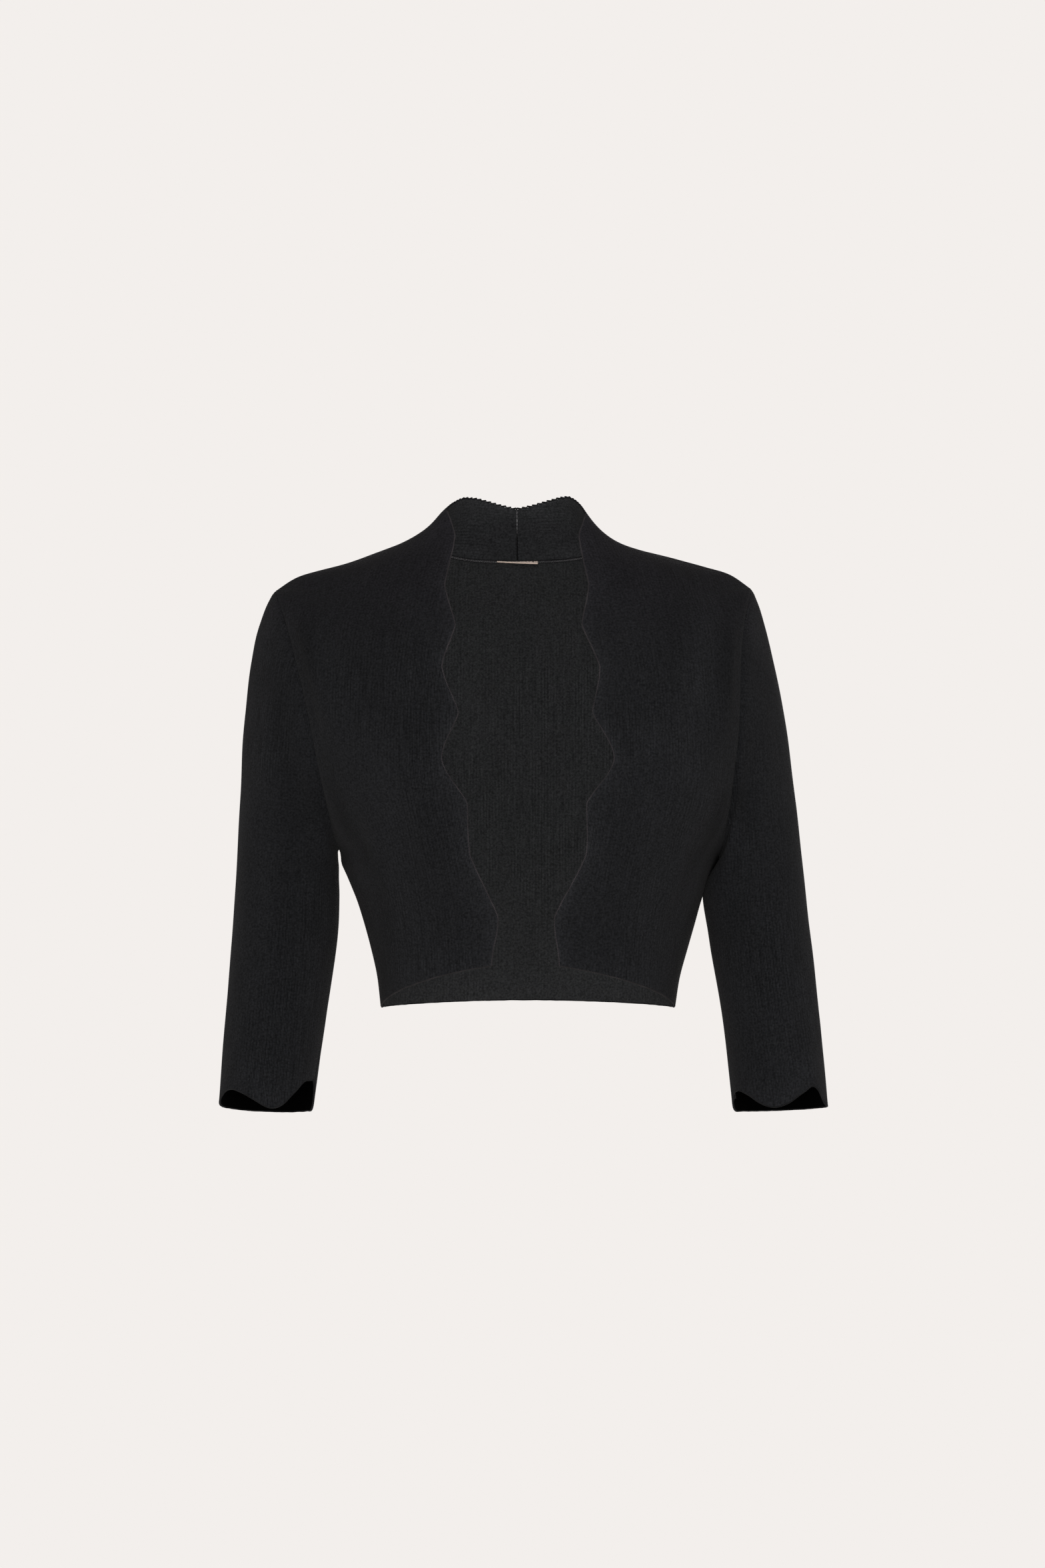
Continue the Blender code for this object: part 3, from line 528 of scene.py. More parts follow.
def front_grid(side, rows, across):
    """A front, with the corner of its standing collar rounded off."""
    handles = smooth(FRONT_RUNGS, rows)
    near_seam, near_edge = handles[:, 0:3], handles[:, 3:6]
    if side == "left":
        near_seam[:, 2] -= handles[:, 6]
        near_edge[:, 2] -= handles[:, 6]
    edge = free_edge(side, rows, near_edge)
    grid = placed(cubic(sewn_edge(side, rows, True), near_seam, near_edge, edge, across), side)
    row, reach, fall = COLLAR_CORNERS[side]
    grid[..., 2] -= fall * np.exp(-(((rows - row) / reach) ** 2))[:, None] * across**2
    return grid


def softened(line):
    """The row of points with its corners rounded off; its two ends stay."""
    reach = round(len(line) * BEND_SOFTENING)
    bell = np.hanning(2 * reach + 3)[1:-1]
    before = 2 * line[0] - line[reach:0:-1]
    after = 2 * line[-1] - line[-2 : -reach - 2 : -1]
    padded = np.concatenate([before, line, after])
    bell /= bell.sum()
    return np.stack([np.convolve(padded[:, k], bell, "valid") for k in range(3)], axis=-1)


def back_handles(rows):
    """The two middle control points of each row of the back, and its end at centre back."""
    table = smooth(BACK_ROWS, rows)
    near_centre = table[:, 3:]
    return table[:, :3], near_centre, near_centre * (0, 1, 1)


def half_back_grid(side, rows, across):
    """Half the back, from its sewn edge to centre back. Its top row bends to the shoulder and
    neck seams, and the rows below take up that bend less and less."""
    grid = cubic(sewn_edge(side, rows, False), *back_handles(rows), across)
    tip = np.array([float(TIP_ROW)])
    top_row = (sewn_edge(side, tip, False), *back_handles(tip))

    def bend_at(places):
        seam_rows = TIP_ROW + places * (NAPE_ROW - TIP_ROW)
        return sewn_edge(side, seam_rows, False) - cubic(*top_row, places)[0]

    even = np.linspace(0, 1, EVEN_SAMPLES)
    soft_bend = interpolated(across, even, softened(bend_at(even)))
    share = np.clip((rows - BEND_FROM_ROW) / (TIP_ROW - BEND_FROM_ROW), 0, 1)[:, None, None]
    grid += share**2 * (share * bend_at(across) + (1 - share) * soft_bend)
    return placed(grid, side)


def back_grid(rows, across):
    """The whole back: across runs from 0 at the right sewn edge to 2 at the left one."""
    right = half_back_grid("right", rows, across[across <= 1])
    left = half_back_grid("left", rows, 2 - across[across > 1])
    return np.concatenate([right, left], axis=1)


def sleeve_grid(side, stations, turn):
    """A sleeve: turn runs from 0 at the underarm seam, over the front and the top, to 2."""
    degrees = np.where(turn <= 1, 180 * (1 - turn), 540 - 180 * turn)
    return placed(sleeve_ring(side, stations, degrees), side)


# ---- where the points lie
def crowded(length, start=True, end=True):
    """Shares of this length, SPACING apart, and closer together near the ends that say so."""
    near = np.array([0.0, *EDGE_STEPS])
    low = near if start else near[:1]
    high = length - (near if end else near[:1])[::-1]
    count = max(1, round((high[0] - low[-1]) / SPACING))
    middle = np.linspace(low[-1], high[0], count + 1)[1:-1]
    return np.concatenate([low, middle, high]) / length


def there_and_back(shares):
    """The shares from 0 to 1, and then on to 2 as their mirror image."""
    return np.concatenate([shares, 2 - shares[-2::-1]])


ROWS = np.concatenate(
    [
        SIDE_ROWS * crowded(SIDE_LENGTH, end=False)[:-1],
        UNDERARM_ROW + ARMHOLE_ROWS * crowded(ARMHOLE_LENGTH, start=False)[:-1],
        TIP_ROW + SHOULDER_ROWS * crowded(SHOULDER_LENGTH, end=False)[:-1],
        NECK_ROW + NECK_ROWS * crowded(NECK_LENGTH, start=False),
    ]
)
BODY_ROWS = ROWS[ROWS <= TIP_ROW]
ARMHOLE_SHARES = (ROWS[(ROWS >= UNDERARM_ROW) & (ROWS <= TIP_ROW)] - UNDERARM_ROW) / ARMHOLE_ROWS
TOP_SHARES = (ROWS[ROWS >= TIP_ROW] - TIP_ROW) / (NAPE_ROW - TIP_ROW)

EDGES = {  # of a grid: the edge's index, and that of the line next to it
    "first_row": (np.s_[0], np.s_[1]),
    "last_row": (np.s_[-1], np.s_[-2]),
    "first_column": (np.s_[:, 0], np.s_[:, 1]),
    "last_column": (np.s_[:, -1], np.s_[:, -2]),
}


def grid_normals(grid, first, second):
    """Unit normals of a grid of points at these places."""
    return unit(np.cross(np.gradient(grid, second, axis=1), np.gradient(grid, first, axis=0)))


class Panel:
    """One piece of cloth: its surface as a function of two places, the grid of points down its
    middle, and which of its edges are sewn."""

    def __init__(self, name, surface, first, second, coarse, outward, sewn):
        self.name, self.surface, self.outward, self.sewn = name, surface, outward, sewn
        self.places = (first, second)
        self.grid = surface(first, second)
        self.flat = flat_cut(surface, coarse, self.places)

    def distance(self, names):
        """How far each point lies from the nearest of these edges, along the cloth."""
        down, right = lengths_along(self.grid, 0), lengths_along(self.grid, 1)
        ways = (down, down[-1:] - down, right, right[:, -1:] - right)
        return np.min([way for name, way in zip(EDGES, ways) if name in names], axis=0)


# ---- the flat cut
def resampled(values, knots, places):
    """The rows of values, known at the knots, at other places along a smooth curve."""
    found = smooth(np.column_stack([knots, values.reshape(len(knots), -1)]), places)
    return found.reshape(len(places), *values.shape[1:])


def quads(index):
    """The four corners of each cell of a grid of indices."""
    corners = (index[:-1, :-1], index[:-1, 1:], index[1:, 1:], index[1:, :-1])
    return np.stack(corners, axis=-1).reshape(-1, 4)


def flattened(grid):
    """The grid laid out flat, with each triangle as near its own shape and size as it can be:
    each is turned to fit best, and the points then settle between the turned triangles."""
    count = grid[..., 0].size
    cells = quads(np.arange(count).reshape(grid.shape[:2]))
    triangles = np.concatenate([cells[:, [0, 1, 2]], cells[:, [0, 2, 3]]])
    corners = grid.reshape(-1, 3)[triangles]
    ahead = unit(corners[:, 1] - corners[:, 0])
    normal = unit(np.cross(ahead, corners[:, 2] - corners[:, 0]))
    axes = np.stack([ahead, np.cross(normal, ahead)], axis=1)
    own = np.einsum("tkj,tij->tki", corners - corners[:, :1], axes)
    starts, ends = triangles, np.roll(triangles, -1, axis=1)
    sides = np.roll(own, -1, axis=1) - own
    left, right = -np.roll(sides, -1, axis=1), np.roll(sides, -2, axis=1)
    area = np.abs(left[..., 0] * right[..., 1] - left[..., 1] * right[..., 0])
    weights = np.maximum((left * right).sum(axis=-1) / np.maximum(area, TINY), SMALLEST_WEIGHT)
    matrix = np.zeros((count, count))
    for i, j in ((starts, ends), (ends, starts)):
        np.add.at(matrix, (i, i), weights)
        np.add.at(matrix, (i, j), -weights)
    matrix[0] = 0.0
    matrix[0, 0] = 1.0
    inverse = np.linalg.inv(matrix)
    down = lengths_along(grid, 0).mean(axis=1)[:, None]
    flat = np.stack(np.broadcast_arrays(lengths_along(grid, 1), down), axis=-1).reshape(-1, 2)
    for _ in range(FLATTENING_ROUNDS):
        now = flat[ends] - flat[starts]
        fit = np.einsum("tk,tki,tkj->tij", weights, now, sides)
        turn = np.arctan2(fit[:, 1, 0] - fit[:, 0, 1], fit[:, 0, 0] + fit[:, 1, 1])
        turned = np.stack([np.cos(turn), -np.sin(turn), np.sin(turn), np.cos(turn)], axis=-1)
        wanted = weights[..., None] * np.einsum("tij,tkj->tki", turned.reshape(-1, 2, 2), sides)
        pull = np.zeros_like(flat)
        np.add.at(pull, ends, wanted)
        np.add.at(pull, starts, -wanted)
        pull[0] = 0.0
        flat = inverse @ pull
    return flat.reshape(*grid.shape[:2], 2)


def flat_cut(surface, coarse, places):
    """Where each point lies in the flat cut, in metres: x across the ribs and y up along them."""
    rows, columns, grain_rows = coarse
    grid = surface(rows, columns)
    flat = flattened(grid)
    body = rows <= grain_rows
    spots = flat[body].reshape(-1, 2)
    heights = grid[body][..., 2].ravel()
    ahead = np.linalg.lstsq(spots - spots.mean(axis=0), heights - heights.mean(), rcond=None)[0]
    ahead /= np.linalg.norm(ahead)
    flat = flat @ np.array([[ahead[1], ahead[0]], [-ahead[0], ahead[1]]])
    flat = resampled(flat, rows, places[0])
    return resampled(flat.swapaxes(0, 1), columns, places[1]).swapaxes(0, 1)


# ---- relief of the cloth
def share_normals(panels):
    """Each panel's normals, with one normal wherever sewn edges of panels meet."""
    spots = []
    for panel in panels:
        panel.normals = grid_normals(panel.grid, *panel.places) * panel.outward
        on_edge = np.zeros(panel.grid.shape[:2], bool)
        for name in panel.sewn:
            on_edge[EDGES[name][0]] = True
        spots.append(np.argwhere(on_edge))
    places = np.concatenate([p.grid[tuple(s.T)] for p, s in zip(panels, spots)])
    normals = np.concatenate([p.normals[tuple(s.T)] for p, s in zip(panels, spots)])
    tree = KDTree(len(places))
    for i, place in enumerate(places):
        tree.insert(place, i)
    tree.balance()
    shared = np.array(
        [normals[[near[1] for near in tree.find_range(p, MEETING)]].sum(axis=0) for p in places]
    )
    first = 0
    for panel, on_edge in zip(panels, spots):
        panel.normals[tuple(on_edge.T)] = unit(shared[first : first + len(on_edge)])
        first += len(on_edge)


def crease(panel, places, half_width, height):
    """A soft ridge or trough over the panel, along a curve through three of its places."""
    along = np.linspace(0, 1, CREASE_SAMPLES)
    bend = np.stack([(1 - along) * (1 - 2 * along), 4 * along * (1 - along), along * (2 * along - 1)])
    first, second = (bend.T @ places).T
    line = np.array([panel.surface(first[i : i + 1], second[i : i + 1])[0, 0] for i in range(len(along))])
    points = panel.grid.reshape(-1, 3)
    nearest = np.full(len(points), np.inf)
    share = np.zeros(len(points))
    for i, (start, end) in enumerate(zip(line, line[1:])):
        way = end - start
        t = np.clip((points - start) @ way / (way @ way), 0, 1)
        away = np.linalg.norm(points - start - t[:, None] * way, axis=1)
        closer = away < nearest
        nearest[closer] = away[closer]
        share[closer] = (i + t[closer]) / (len(line) - 1)
    fading = np.sin(math.pi * (share * (1 - 2 * CREASE_ENDS) + CREASE_ENDS)) ** CREASE_FADE
    relief = height * fading * np.exp(-((nearest / half_width) ** 2))
    return relief.reshape(panel.grid.shape[:2])


def creases(panel, table, unit_size):
    """All that the table says of this panel, with the heights in units of this size."""
    total = np.zeros(panel.grid.shape[:2])
    units = (100, 100) if panel.name.startswith("sleeve") else (1, 100)
    for *places, half_width, height in table[panel.name]:
        line = np.reshape(places, (3, 2)) / units
        total += crease(panel, line, half_width / 1000, height * unit_size)
    return total


def slow_noise(points, scale):
    """A soft noise at each point, with so many waves in a metre."""
    return np.array([noise.noise(Vector(p) * scale) for p in points.reshape(-1, 3)])


def raise_relief(panel):
    """Moves the grid along its normals: seams, creases and a soft unevenness."""
    from_seam = panel.distance(panel.sewn)
    relief = -SEAM_SINK * np.exp(-((from_seam / SEAM_SINK_REACH) ** 2))
    relief += SEAM_PUFF * np.exp(-(((from_seam - SEAM_PUFF_PLACE) / SEAM_PUFF_REACH) ** 2))
    relief += creases(panel, CREASES, 0.001) * (1 - np.exp(-((from_seam / CREASE_HELD) ** 2)))
    for names, centre, reach, height in SWELLS:
        if panel.name in names.split():
            away = (((panel.grid * 1000 - centre) / reach) ** 2).sum(axis=-1)
            below = ease((UNDERARM_Z - panel.grid[..., 2]) / UNDERARM_HELD)
            low = centre[2] < UNDERARM_Z * 1000
            relief += height / 1000 * np.exp(-away) * (below if low else 1.0)
    relief += UNEVEN * slow_noise(panel.grid, UNEVEN_SCALE).reshape(relief.shape)
    panel.grid = panel.grid + panel.normals * relief[..., None]


def painted_lightness_of(panel):
    """How much lighter each point is painted, or darker: soft zones of painted light and shade, and a
    lighter band beside a front's free edge."""
    lighter = creases(panel, PAINTED_LIGHT_AND_SHADE, 0.01)
    if panel.name.startswith("front"):
        lighter += EDGE_GLOW * np.exp(-panel.distance(["last_column"]) / EDGE_GLOW_REACH)
    return lighter


def painted_lightness_inside(panel, lighter):
    """The same for the inner face. Down a sleeve it is instead painted ever darker, as painted shade."""
    if not panel.name.startswith("sleeve"):
        return lighter
    share = (panel.places[0] - SLEEVE_SHADE_FROM) / (SLEEVE_SHADE_TO - SLEEVE_SHADE_FROM)
    return np.broadcast_to(-SLEEVE_SHADE * ease(share)[:, None], lighter.shape)


# ---- meshes
def linked(name, data):
    thing = bpy.data.objects.new(name, data)
    bpy.context.scene.collection.objects.link(thing)
    return thing


def mesh_object(name, points, faces, flat, materials, face_materials=None, stretch=None):
    """A smooth mesh with its flat cut as the UV map. flat gives a place for each point."""
    mesh = bpy.data.meshes.new(name)
    mesh.from_pydata(points.tolist(), [], faces)
    corners = np.zeros(len(mesh.loops), int)
    mesh.loops.foreach_get("vertex_index", corners)
    mesh.uv_layers.new(name="flat").data.foreach_set("uv", flat[corners].ravel())
    for material in materials:
        mesh.materials.append(material)
    if face_materials is not None:
        mesh.polygons.foreach_set("material_index", face_materials)
    if stretch is not None:
        # each point's painted light and shade
        mesh.attributes.new("stretch", "FLOAT", "POINT").data.foreach_set("value", stretch)
    mesh.shade_smooth()
    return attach(linked(name, mesh), "root")


def shell(name, grid, normals, edge_distance, thickness, flat, outward, materials, stretch=None):
    """A closed wall on both sides of the grid, rounded to nothing at its edges. Its outer faces
    take the first material and its inner ones the last."""
    rows, columns = grid.shape[:2]
    inside = np.clip(edge_distance / (thickness / 2), 0, 1)
    offset = normals * (thickness / 2 * np.sqrt(1 - (1 - inside) ** 2))[..., None]
    outer = np.arange(rows * columns).reshape(rows, columns)
    inner = outer.copy()
    inner[1:-1, 1:-1] = rows * columns + np.arange((rows - 2) * (columns - 2)).reshape(rows - 2, -1)

    def both(on_outer, on_inner):
        """Values of the outer points, and then of the inner ones, which leave out the edges."""
        width = np.shape(on_outer)[2:]
        parts = (on_outer, on_inner[1:-1, 1:-1])
        return np.concatenate([values.reshape(-1, *width) for values in parts])

    sides = [quads(outer), quads(inner)[:, ::-1]]
    if outward < 0:
        sides = [side[:, ::-1] for side in sides]
    faces = np.concatenate(sides).tolist()
    which = np.repeat([0, len(materials) - 1], len(sides[0]))
    points = both(grid + offset, grid - offset)
    stretch = stretch and both(*stretch)
    return mesh_object(name, points, faces, both(flat, flat), materials, which, stretch)


def swept(name, rings, run, material):
    """A closed tube through rings of points, one at each place of the run."""
    count, around = rings.shape[:2]
    index = np.arange(count * around).reshape(count, around)
    here, after = (index, np.roll(index, -1, axis=0)) if run.closed else (index[:-1], index[1:])
    faces = np.stack([here, np.roll(here, -1, axis=1), np.roll(after, -1, axis=1), after], axis=-1)
    faces = faces.reshape(-1, 4).tolist()
    if not run.closed:
        faces += [index[0, ::-1].tolist(), index[-1].tolist()]
    flat = np.stack(np.broadcast_arrays(lengths_along(rings[0]), run.at[:, None]), axis=-1)
    return mesh_object(name, rings.reshape(-1, 3), faces, flat.reshape(-1, 2), [material])


# ---- lines along the edges
class Run:
    """A line of points a step apart along an edge of a panel, or along some of its rows, with the
    ways out of the cloth, into the panel and along the edge at each, and how far along it lies."""

    def __init__(self, panel, edge, step, rows=None, closed=False):
        here, beside = EDGES[edge]
        line = panel.grid[here], panel.normals[here], panel.grid[beside] - panel.grid[here]
        if rows is not None:
            picked = (panel.places[0] >= rows[0]) & (panel.places[0] <= rows[1])
            line = [values[picked] for values in line]
        gaps = np.linalg.norm(np.diff(line[0], axis=0), axis=1)
        keep = np.concatenate([[True], gaps > SAME_POINT])
        lengths = np.concatenate([[0.0], np.cumsum(gaps[keep[1:]])])
        self.closed, self.length = closed, lengths[-1]
        count = max(4, round(self.length / step))
        self.at = np.linspace(0, self.length, count + 1)
        if closed:
            self.at = self.at[:-1]
        points, normals, into = (values[keep] for values in line)
        self.points = interpolated(self.at, lengths, points)
        self.normals = unit(interpolated(self.at, lengths, unit(normals)))
        into = interpolated(self.at, lengths, unit(into))
        across = np.cross(self.normals, unit(self.gradient(self.points)))
        self.into = unit(across * np.sign((across * into).sum(axis=-1, keepdims=True)))

    def gradient(self, line):
        if self.closed:
            return np.roll(line, -1, axis=0) - np.roll(line, 1, axis=0)
        return np.gradient(line, axis=0)

    def off(self, into, out):
        """The points moved into the panel and outwards from its middle."""
        into, out = (np.broadcast_to(v, self.at.shape)[:, None] for v in (into, out))
        return self.points + self.into * into + self.normals * out


def bead(name, run, material, steps=False):
    """The overlocked binding round a free edge: a cord of slanting stitches, not quite even."""
    turn = np.linspace(0, 2 * math.pi, EDGE_SIDES, endpoint=False)[None, :, None]
    stitches = run.length / round(run.length / EDGE_STITCH)
    slant = 2 * math.pi * run.at[:, None, None] / stitches + turn
    radius = EDGE_RADIUS * (1 + EDGE_STITCH_DEPTH * np.cos(slant))
    out = EDGE_DRIFT * slow_noise(run.points, EDGE_DRIFT_SCALE) - EDGE_INSET
    if steps:
        share = run.at / COLLAR_STEP_LENGTH
        tooth = np.minimum(share % 1.0 / (1 - COLLAR_STEP_FALL), (1 - share % 1.0) / COLLAR_STEP_FALL)
        out = out + COLLAR_STEP_HEIGHT * tooth * ease(share)
    ways = run.normals[:, None, :] * np.sin(turn) - run.into[:, None, :] * np.cos(turn)
    return swept(name, run.off(-out, 0.0)[:, None, :] + ways * radius, run, material)


def seam_band(name, run, material):
    """The overlocked allowance of a seam, lying on the inside of one of its panels."""
    rings = [run.off(into, -inwards) for into, inwards in SEAM_BAND]
    return swept(name, np.stack(rings, axis=1), run, material)


def seam_thread(name, run, material, zigzag, stitch, radius):
    """A zigzag thread along a seam. The run has four steps to each stitch."""
    first, last, height = zigzag
    wave = np.cos(2 * math.pi * round(run.length / stitch) * run.at / run.length)
    middle = run.off((first + last) / 2 + (last - first) / 2 * wave, -height - radius * 0.5 * wave**2)
    side = unit(np.cross(run.normals, unit(run.gradient(middle))))
    turn = np.linspace(0, 2 * math.pi, 4, endpoint=False)
    ring = [middle + radius * (math.cos(a) * side + math.sin(a) * run.normals) for a in turn]
    return swept(name, np.stack(ring, axis=1), run, material)


# ---- the neck label
def label_grid(rows, columns, height):
    """Points on the inside of the back just below the nape, at the label's place."""
    down, across = LABEL_SAMPLES
    rows_down = np.linspace(TIP_ROW, TIP_ROW - LABEL_BACK_ROWS, down)
    places = (rows_down, there_and_back(np.linspace(0, 1, across)))
    back = back_grid(*places)
    inside = back + grid_normals(back, *places) * LABEL_LIFT
    middle = inside[:, inside.shape[1] // 2]
    offsets = LABEL_WIDTH * (columns - 0.5)
    strips = np.stack([between(line, line[:, 0], middle[0, 0] + offsets) for line in inside], axis=1)
    wanted = LABEL_BELOW_SEAM + height * rows[None, :] + LABEL_TILT * offsets[:, None]
    depths = lengths_along(middle)
    return np.stack([between(strip, depths, deep) for strip, deep in zip(strips, wanted)], axis=1)


def between(points, places, wanted):
    """The points at the wanted places along the first axis, where the places increase."""
    index = np.interp(wanted, places, np.arange(len(places)))
    low = np.minimum(index.astype(int), len(places) - 2)
    share = (index - low).reshape(-1, *[1] * (points.ndim - 1))
    return points[low] * (1 - share) + points[low + 1] * share


# ---- materials
class Value:
    """A node's output. Arithmetic on it adds the nodes that work it out."""

    def __init__(self, nodes, socket):
        self.nodes, self.socket = nodes, socket

    def math(self, operation, *others):
        return self.nodes.add("Math", enumerate((self, *others)), operation=operation)

    __add__ = partialmethod(math, "ADD")
    __sub__ = partialmethod(math, "SUBTRACT")
    __mul__ = partialmethod(math, "MULTIPLY")
    __truediv__ = partialmethod(math, "DIVIDE")
    __pow__ = partialmethod(math, "POWER")

    def ripple(self):
        """Rounded ridges, one for each unit."""
        return (self * math.pi).math("SINE").math("ABSOLUTE")

    def ramp(self, low, high, out_low=0.0, out_high=1.0):
        return self.nodes.add("MapRange", enumerate((self, low, high, out_low, out_high)))

    def around(self, middle, reach):
        """A noise spread evenly about this middle."""
        return self.ramp(NOISE_LOW, NOISE_HIGH, middle - reach, middle + reach)

    def scaled(self, factor):
        """A colour times a number."""
        return self.nodes.add("VectorMath", [(0, self), (3, factor)], operation="SCALE")


class Nodes:
    """The nodes of a material or a world, under construction."""

    def __init__(self, owner, final="Principled BSDF"):
        owner.use_nodes = True
        self.owner, self.tree = owner, owner.node_tree
        self.final = self.tree.nodes[final]

    def feed(self, node, inputs):
        """Sets or links a node's inputs, given as pairs of a name or index and a value."""
        for key, value in inputs:
            if isinstance(value, Value):
                self.tree.links.new(value.socket, node.inputs[key])
            else:
                node.inputs[key].default_value = value

    def add(self, kind, inputs=(), output=0, **settings):
        """Adds a shader node of this kind, and gives one of its outputs."""
        node = self.tree.nodes.new("ShaderNode" + kind)
        for key, value in settings.items():
            setattr(node, key, value)
        self.feed(node, inputs)
        return Value(self, node.outputs[output])

    def axes(self, vector):
        """The X, Y and Z of a vector."""
        first = self.add("SeparateXYZ", [(0, vector)])
        return [Value(self, output) for output in first.socket.node.outputs]

    def flat_place(self):
        """Across the ribs and along them in the flat cut, in metres."""
        return self.axes(self.add("UVMap", uv_map="flat"))[:2]

    def place(self):
        return self.add("TexCoord", output="Object")

    def noise(self, scale, detail=2.0, place=None):
        inputs = {"Vector": place or self.place(), "Scale": scale, "Detail": detail}
        return self.add("TexNoise", inputs.items())

    def mix(self, share, first, second):
        return self.add("Mix", [(0, share), (6, first), (7, second)], 2, data_type="RGBA")

    def finish(self, colour, height, distance, sheen, roughness=0.95, specular=0.02):
        bump = self.add("Bump", [("Height", height), ("Distance", distance)])
        looks = {"Base Color": colour, "Normal": bump, "Roughness": roughness}
        looks |= {"Specular IOR Level": specular, "Sheen Weight": sheen}
        looks |= {"Sheen Roughness": SHEEN_ROUGHNESS, "Sheen Tint": SHEEN_TINT}
        self.feed(self.final, looks.items())
        return self.owner


def tone(red, green, blue):
    """A colour, in thousandths of white."""
    return (red / 1000, green / 1000, blue / 1000, 1.0)


def rib_knit(name, groove, crest, sheen=KNIT_SHEEN, tint=None):
    """Fine rib: wales RIB_PITCH apart with narrow grooves, each a column of V stitches, with a soft fuzz
    and a slightly uneven dye. The grooves are painted darker than the crests as painted shade of the ribs,
    and a mesh attribute paints soft light and shade. tint colours it towards the shoulders."""
    nodes = Nodes(bpy.data.materials.new(name))
    across, up = nodes.flat_place()
    column = across / RIB_PITCH + nodes.noise(WANDER_SCALE, 1.0) * WANDER
    strength = nodes.noise(RELIEF_SCALE).ramp(*RELIEF_NOISE, RELIEF_LEAST)
    course = up / COURSE + column.math("PINGPONG", 0.5) * STITCH_LEAN
    body = column.ripple() ** RIB_POWER * (course.ripple() * STITCH_DEPTH + (1 - STITCH_DEPTH))
    height = body * strength + nodes.noise(FUZZ_SCALE) * FUZZ_DEPTH
    share = (body - MIDDLE_TONE) * strength + MIDDLE_TONE
    # painted shade: the grooves are darker than the crests
    colour = nodes.mix(share, groove, crest)
    place = nodes.add("CombineXYZ", enumerate((across / RIB_PITCH, up / WALE_RUN)))
    wales = nodes.noise(WALE_SCALE, 1.0, place).around(0.0, WALE_CONTRAST)
    wales = wales + (column * math.pi).math("COSINE") * PAIR_CONTRAST
    # painted light and shade, carried on the mesh
    stretch = nodes.add("Attribute", output="Fac", attribute_name="stretch")
    for factor in (
        nodes.noise(MOTTLE_SCALE).around(1.0, MOTTLE),
        nodes.noise(CLOUD_SCALE).around(1.0, CLOUD),
        wales * strength + 1.0,
        stretch + 1.0,
    ):
        colour = colour.scaled(factor)
    if tint:
        higher = nodes.axes(nodes.place())[2].ramp(TINT_FROM, TINT_TO)
        warmer = nodes.mix(higher, (1.0, 1.0, 1.0, 1.0), tint)
        colour = nodes.add("VectorMath", enumerate((colour, warmer)), operation="MULTIPLY")
    return nodes.finish(colour, height, RIB_BUMP, sheen)


def thread(name, dark, light, pitch, rises=None, even=0.4):
    """Stitching: threads side by side across the run of a seam or an edge, in patches of painted light.
    rises says between which heights the light threads begin to show, and even how even that painted light
    is."""
    nodes = Nodes(bpy.data.materials.new(name))
    around, along = nodes.flat_place()
    wander = nodes.noise(THREAD_WANDER_SCALE, 1.0) * THREAD_WANDER
    strand = (along / pitch + around / THREAD_TWIST + wander).ripple()
    # painted light: patches where the threads are lighter or darker
    patch = nodes.noise(PATCH_SCALE).ramp(*PATCH_NOISE)
    share = strand**THREAD_POWER * (patch * (1 - even) + even)
    if rises:
        share = share * nodes.axes(nodes.place())[2].ramp(*rises)
    height = strand + nodes.noise(THREAD_FUZZ_SCALE) * THREAD_FUZZ
    return nodes.finish(nodes.mix(share, dark, light), height, THREAD_BUMP, KNIT_SHEEN)


def woven_tape(name, dark, light):
    """Satin tape: fine warp floats with a twill line across them."""
    nodes = Nodes(bpy.data.materials.new(name))
    across, up = nodes.flat_place()
    twill = (across / TWILL_ACROSS + up / TWILL_UP).ripple()
    share = (across / FLOAT_PITCH).ripple() * 0.5 + twill * 0.5
    uneven = nodes.noise(TAPE_CLOUD_SCALE).around(1.0, TAPE_CLOUD)
    colour = nodes.mix(share, dark, light).scaled(uneven)
    return nodes.finish(colour, share, TAPE_BUMP, 0.1, roughness=0.6, specular=0.2)


# ---- the garment
def all_panels():
    """The panels. Each is laid flat from a coarse grid: rows, columns, and the last row that its
    grain is taken from."""
    near_underarm = np.array(EDGE_STEPS) / ARMHOLE_LENGTH
    beyond = ARMHOLE_SHARES[ARMHOLE_SHARES > near_underarm[-1] * CLEAR_OF_STEPS]
    turn = there_and_back(np.concatenate([[0.0], near_underarm, beyond]))

    def coarse(kind, last_row, last_column, grain_rows):
        rows, columns = COARSE[kind]
        return np.linspace(0, last_row, rows), np.linspace(0, last_column, columns), grain_rows

    both_sides = ("first_column", "last_column")
    across = there_and_back(TOP_SHARES)
    laid = coarse("back", TIP_ROW, 2, TIP_ROW)
    yield Panel("back", back_grid, BODY_ROWS, across, laid, -1, ("last_row", *both_sides))
    for side, sign in SIDES.items():
        surface = partial(front_grid, side)
        laid = coarse("front", NAPE_ROW, 1, TIP_ROW)
        sewn_edges = ("first_column", "last_row")
        yield Panel(f"front_{side}", surface, ROWS, crowded(FRONT_WIDTH), laid, -sign, sewn_edges)
        surface = partial(sleeve_grid, side)
        laid = coarse("sleeve", 1, 2, 1)
        stations = crowded(SLEEVE_LENGTH)
        sewn_edges = ("first_row", *both_sides)
        yield Panel(f"sleeve_{side}", surface, stations, turn, laid, -sign, sewn_edges)
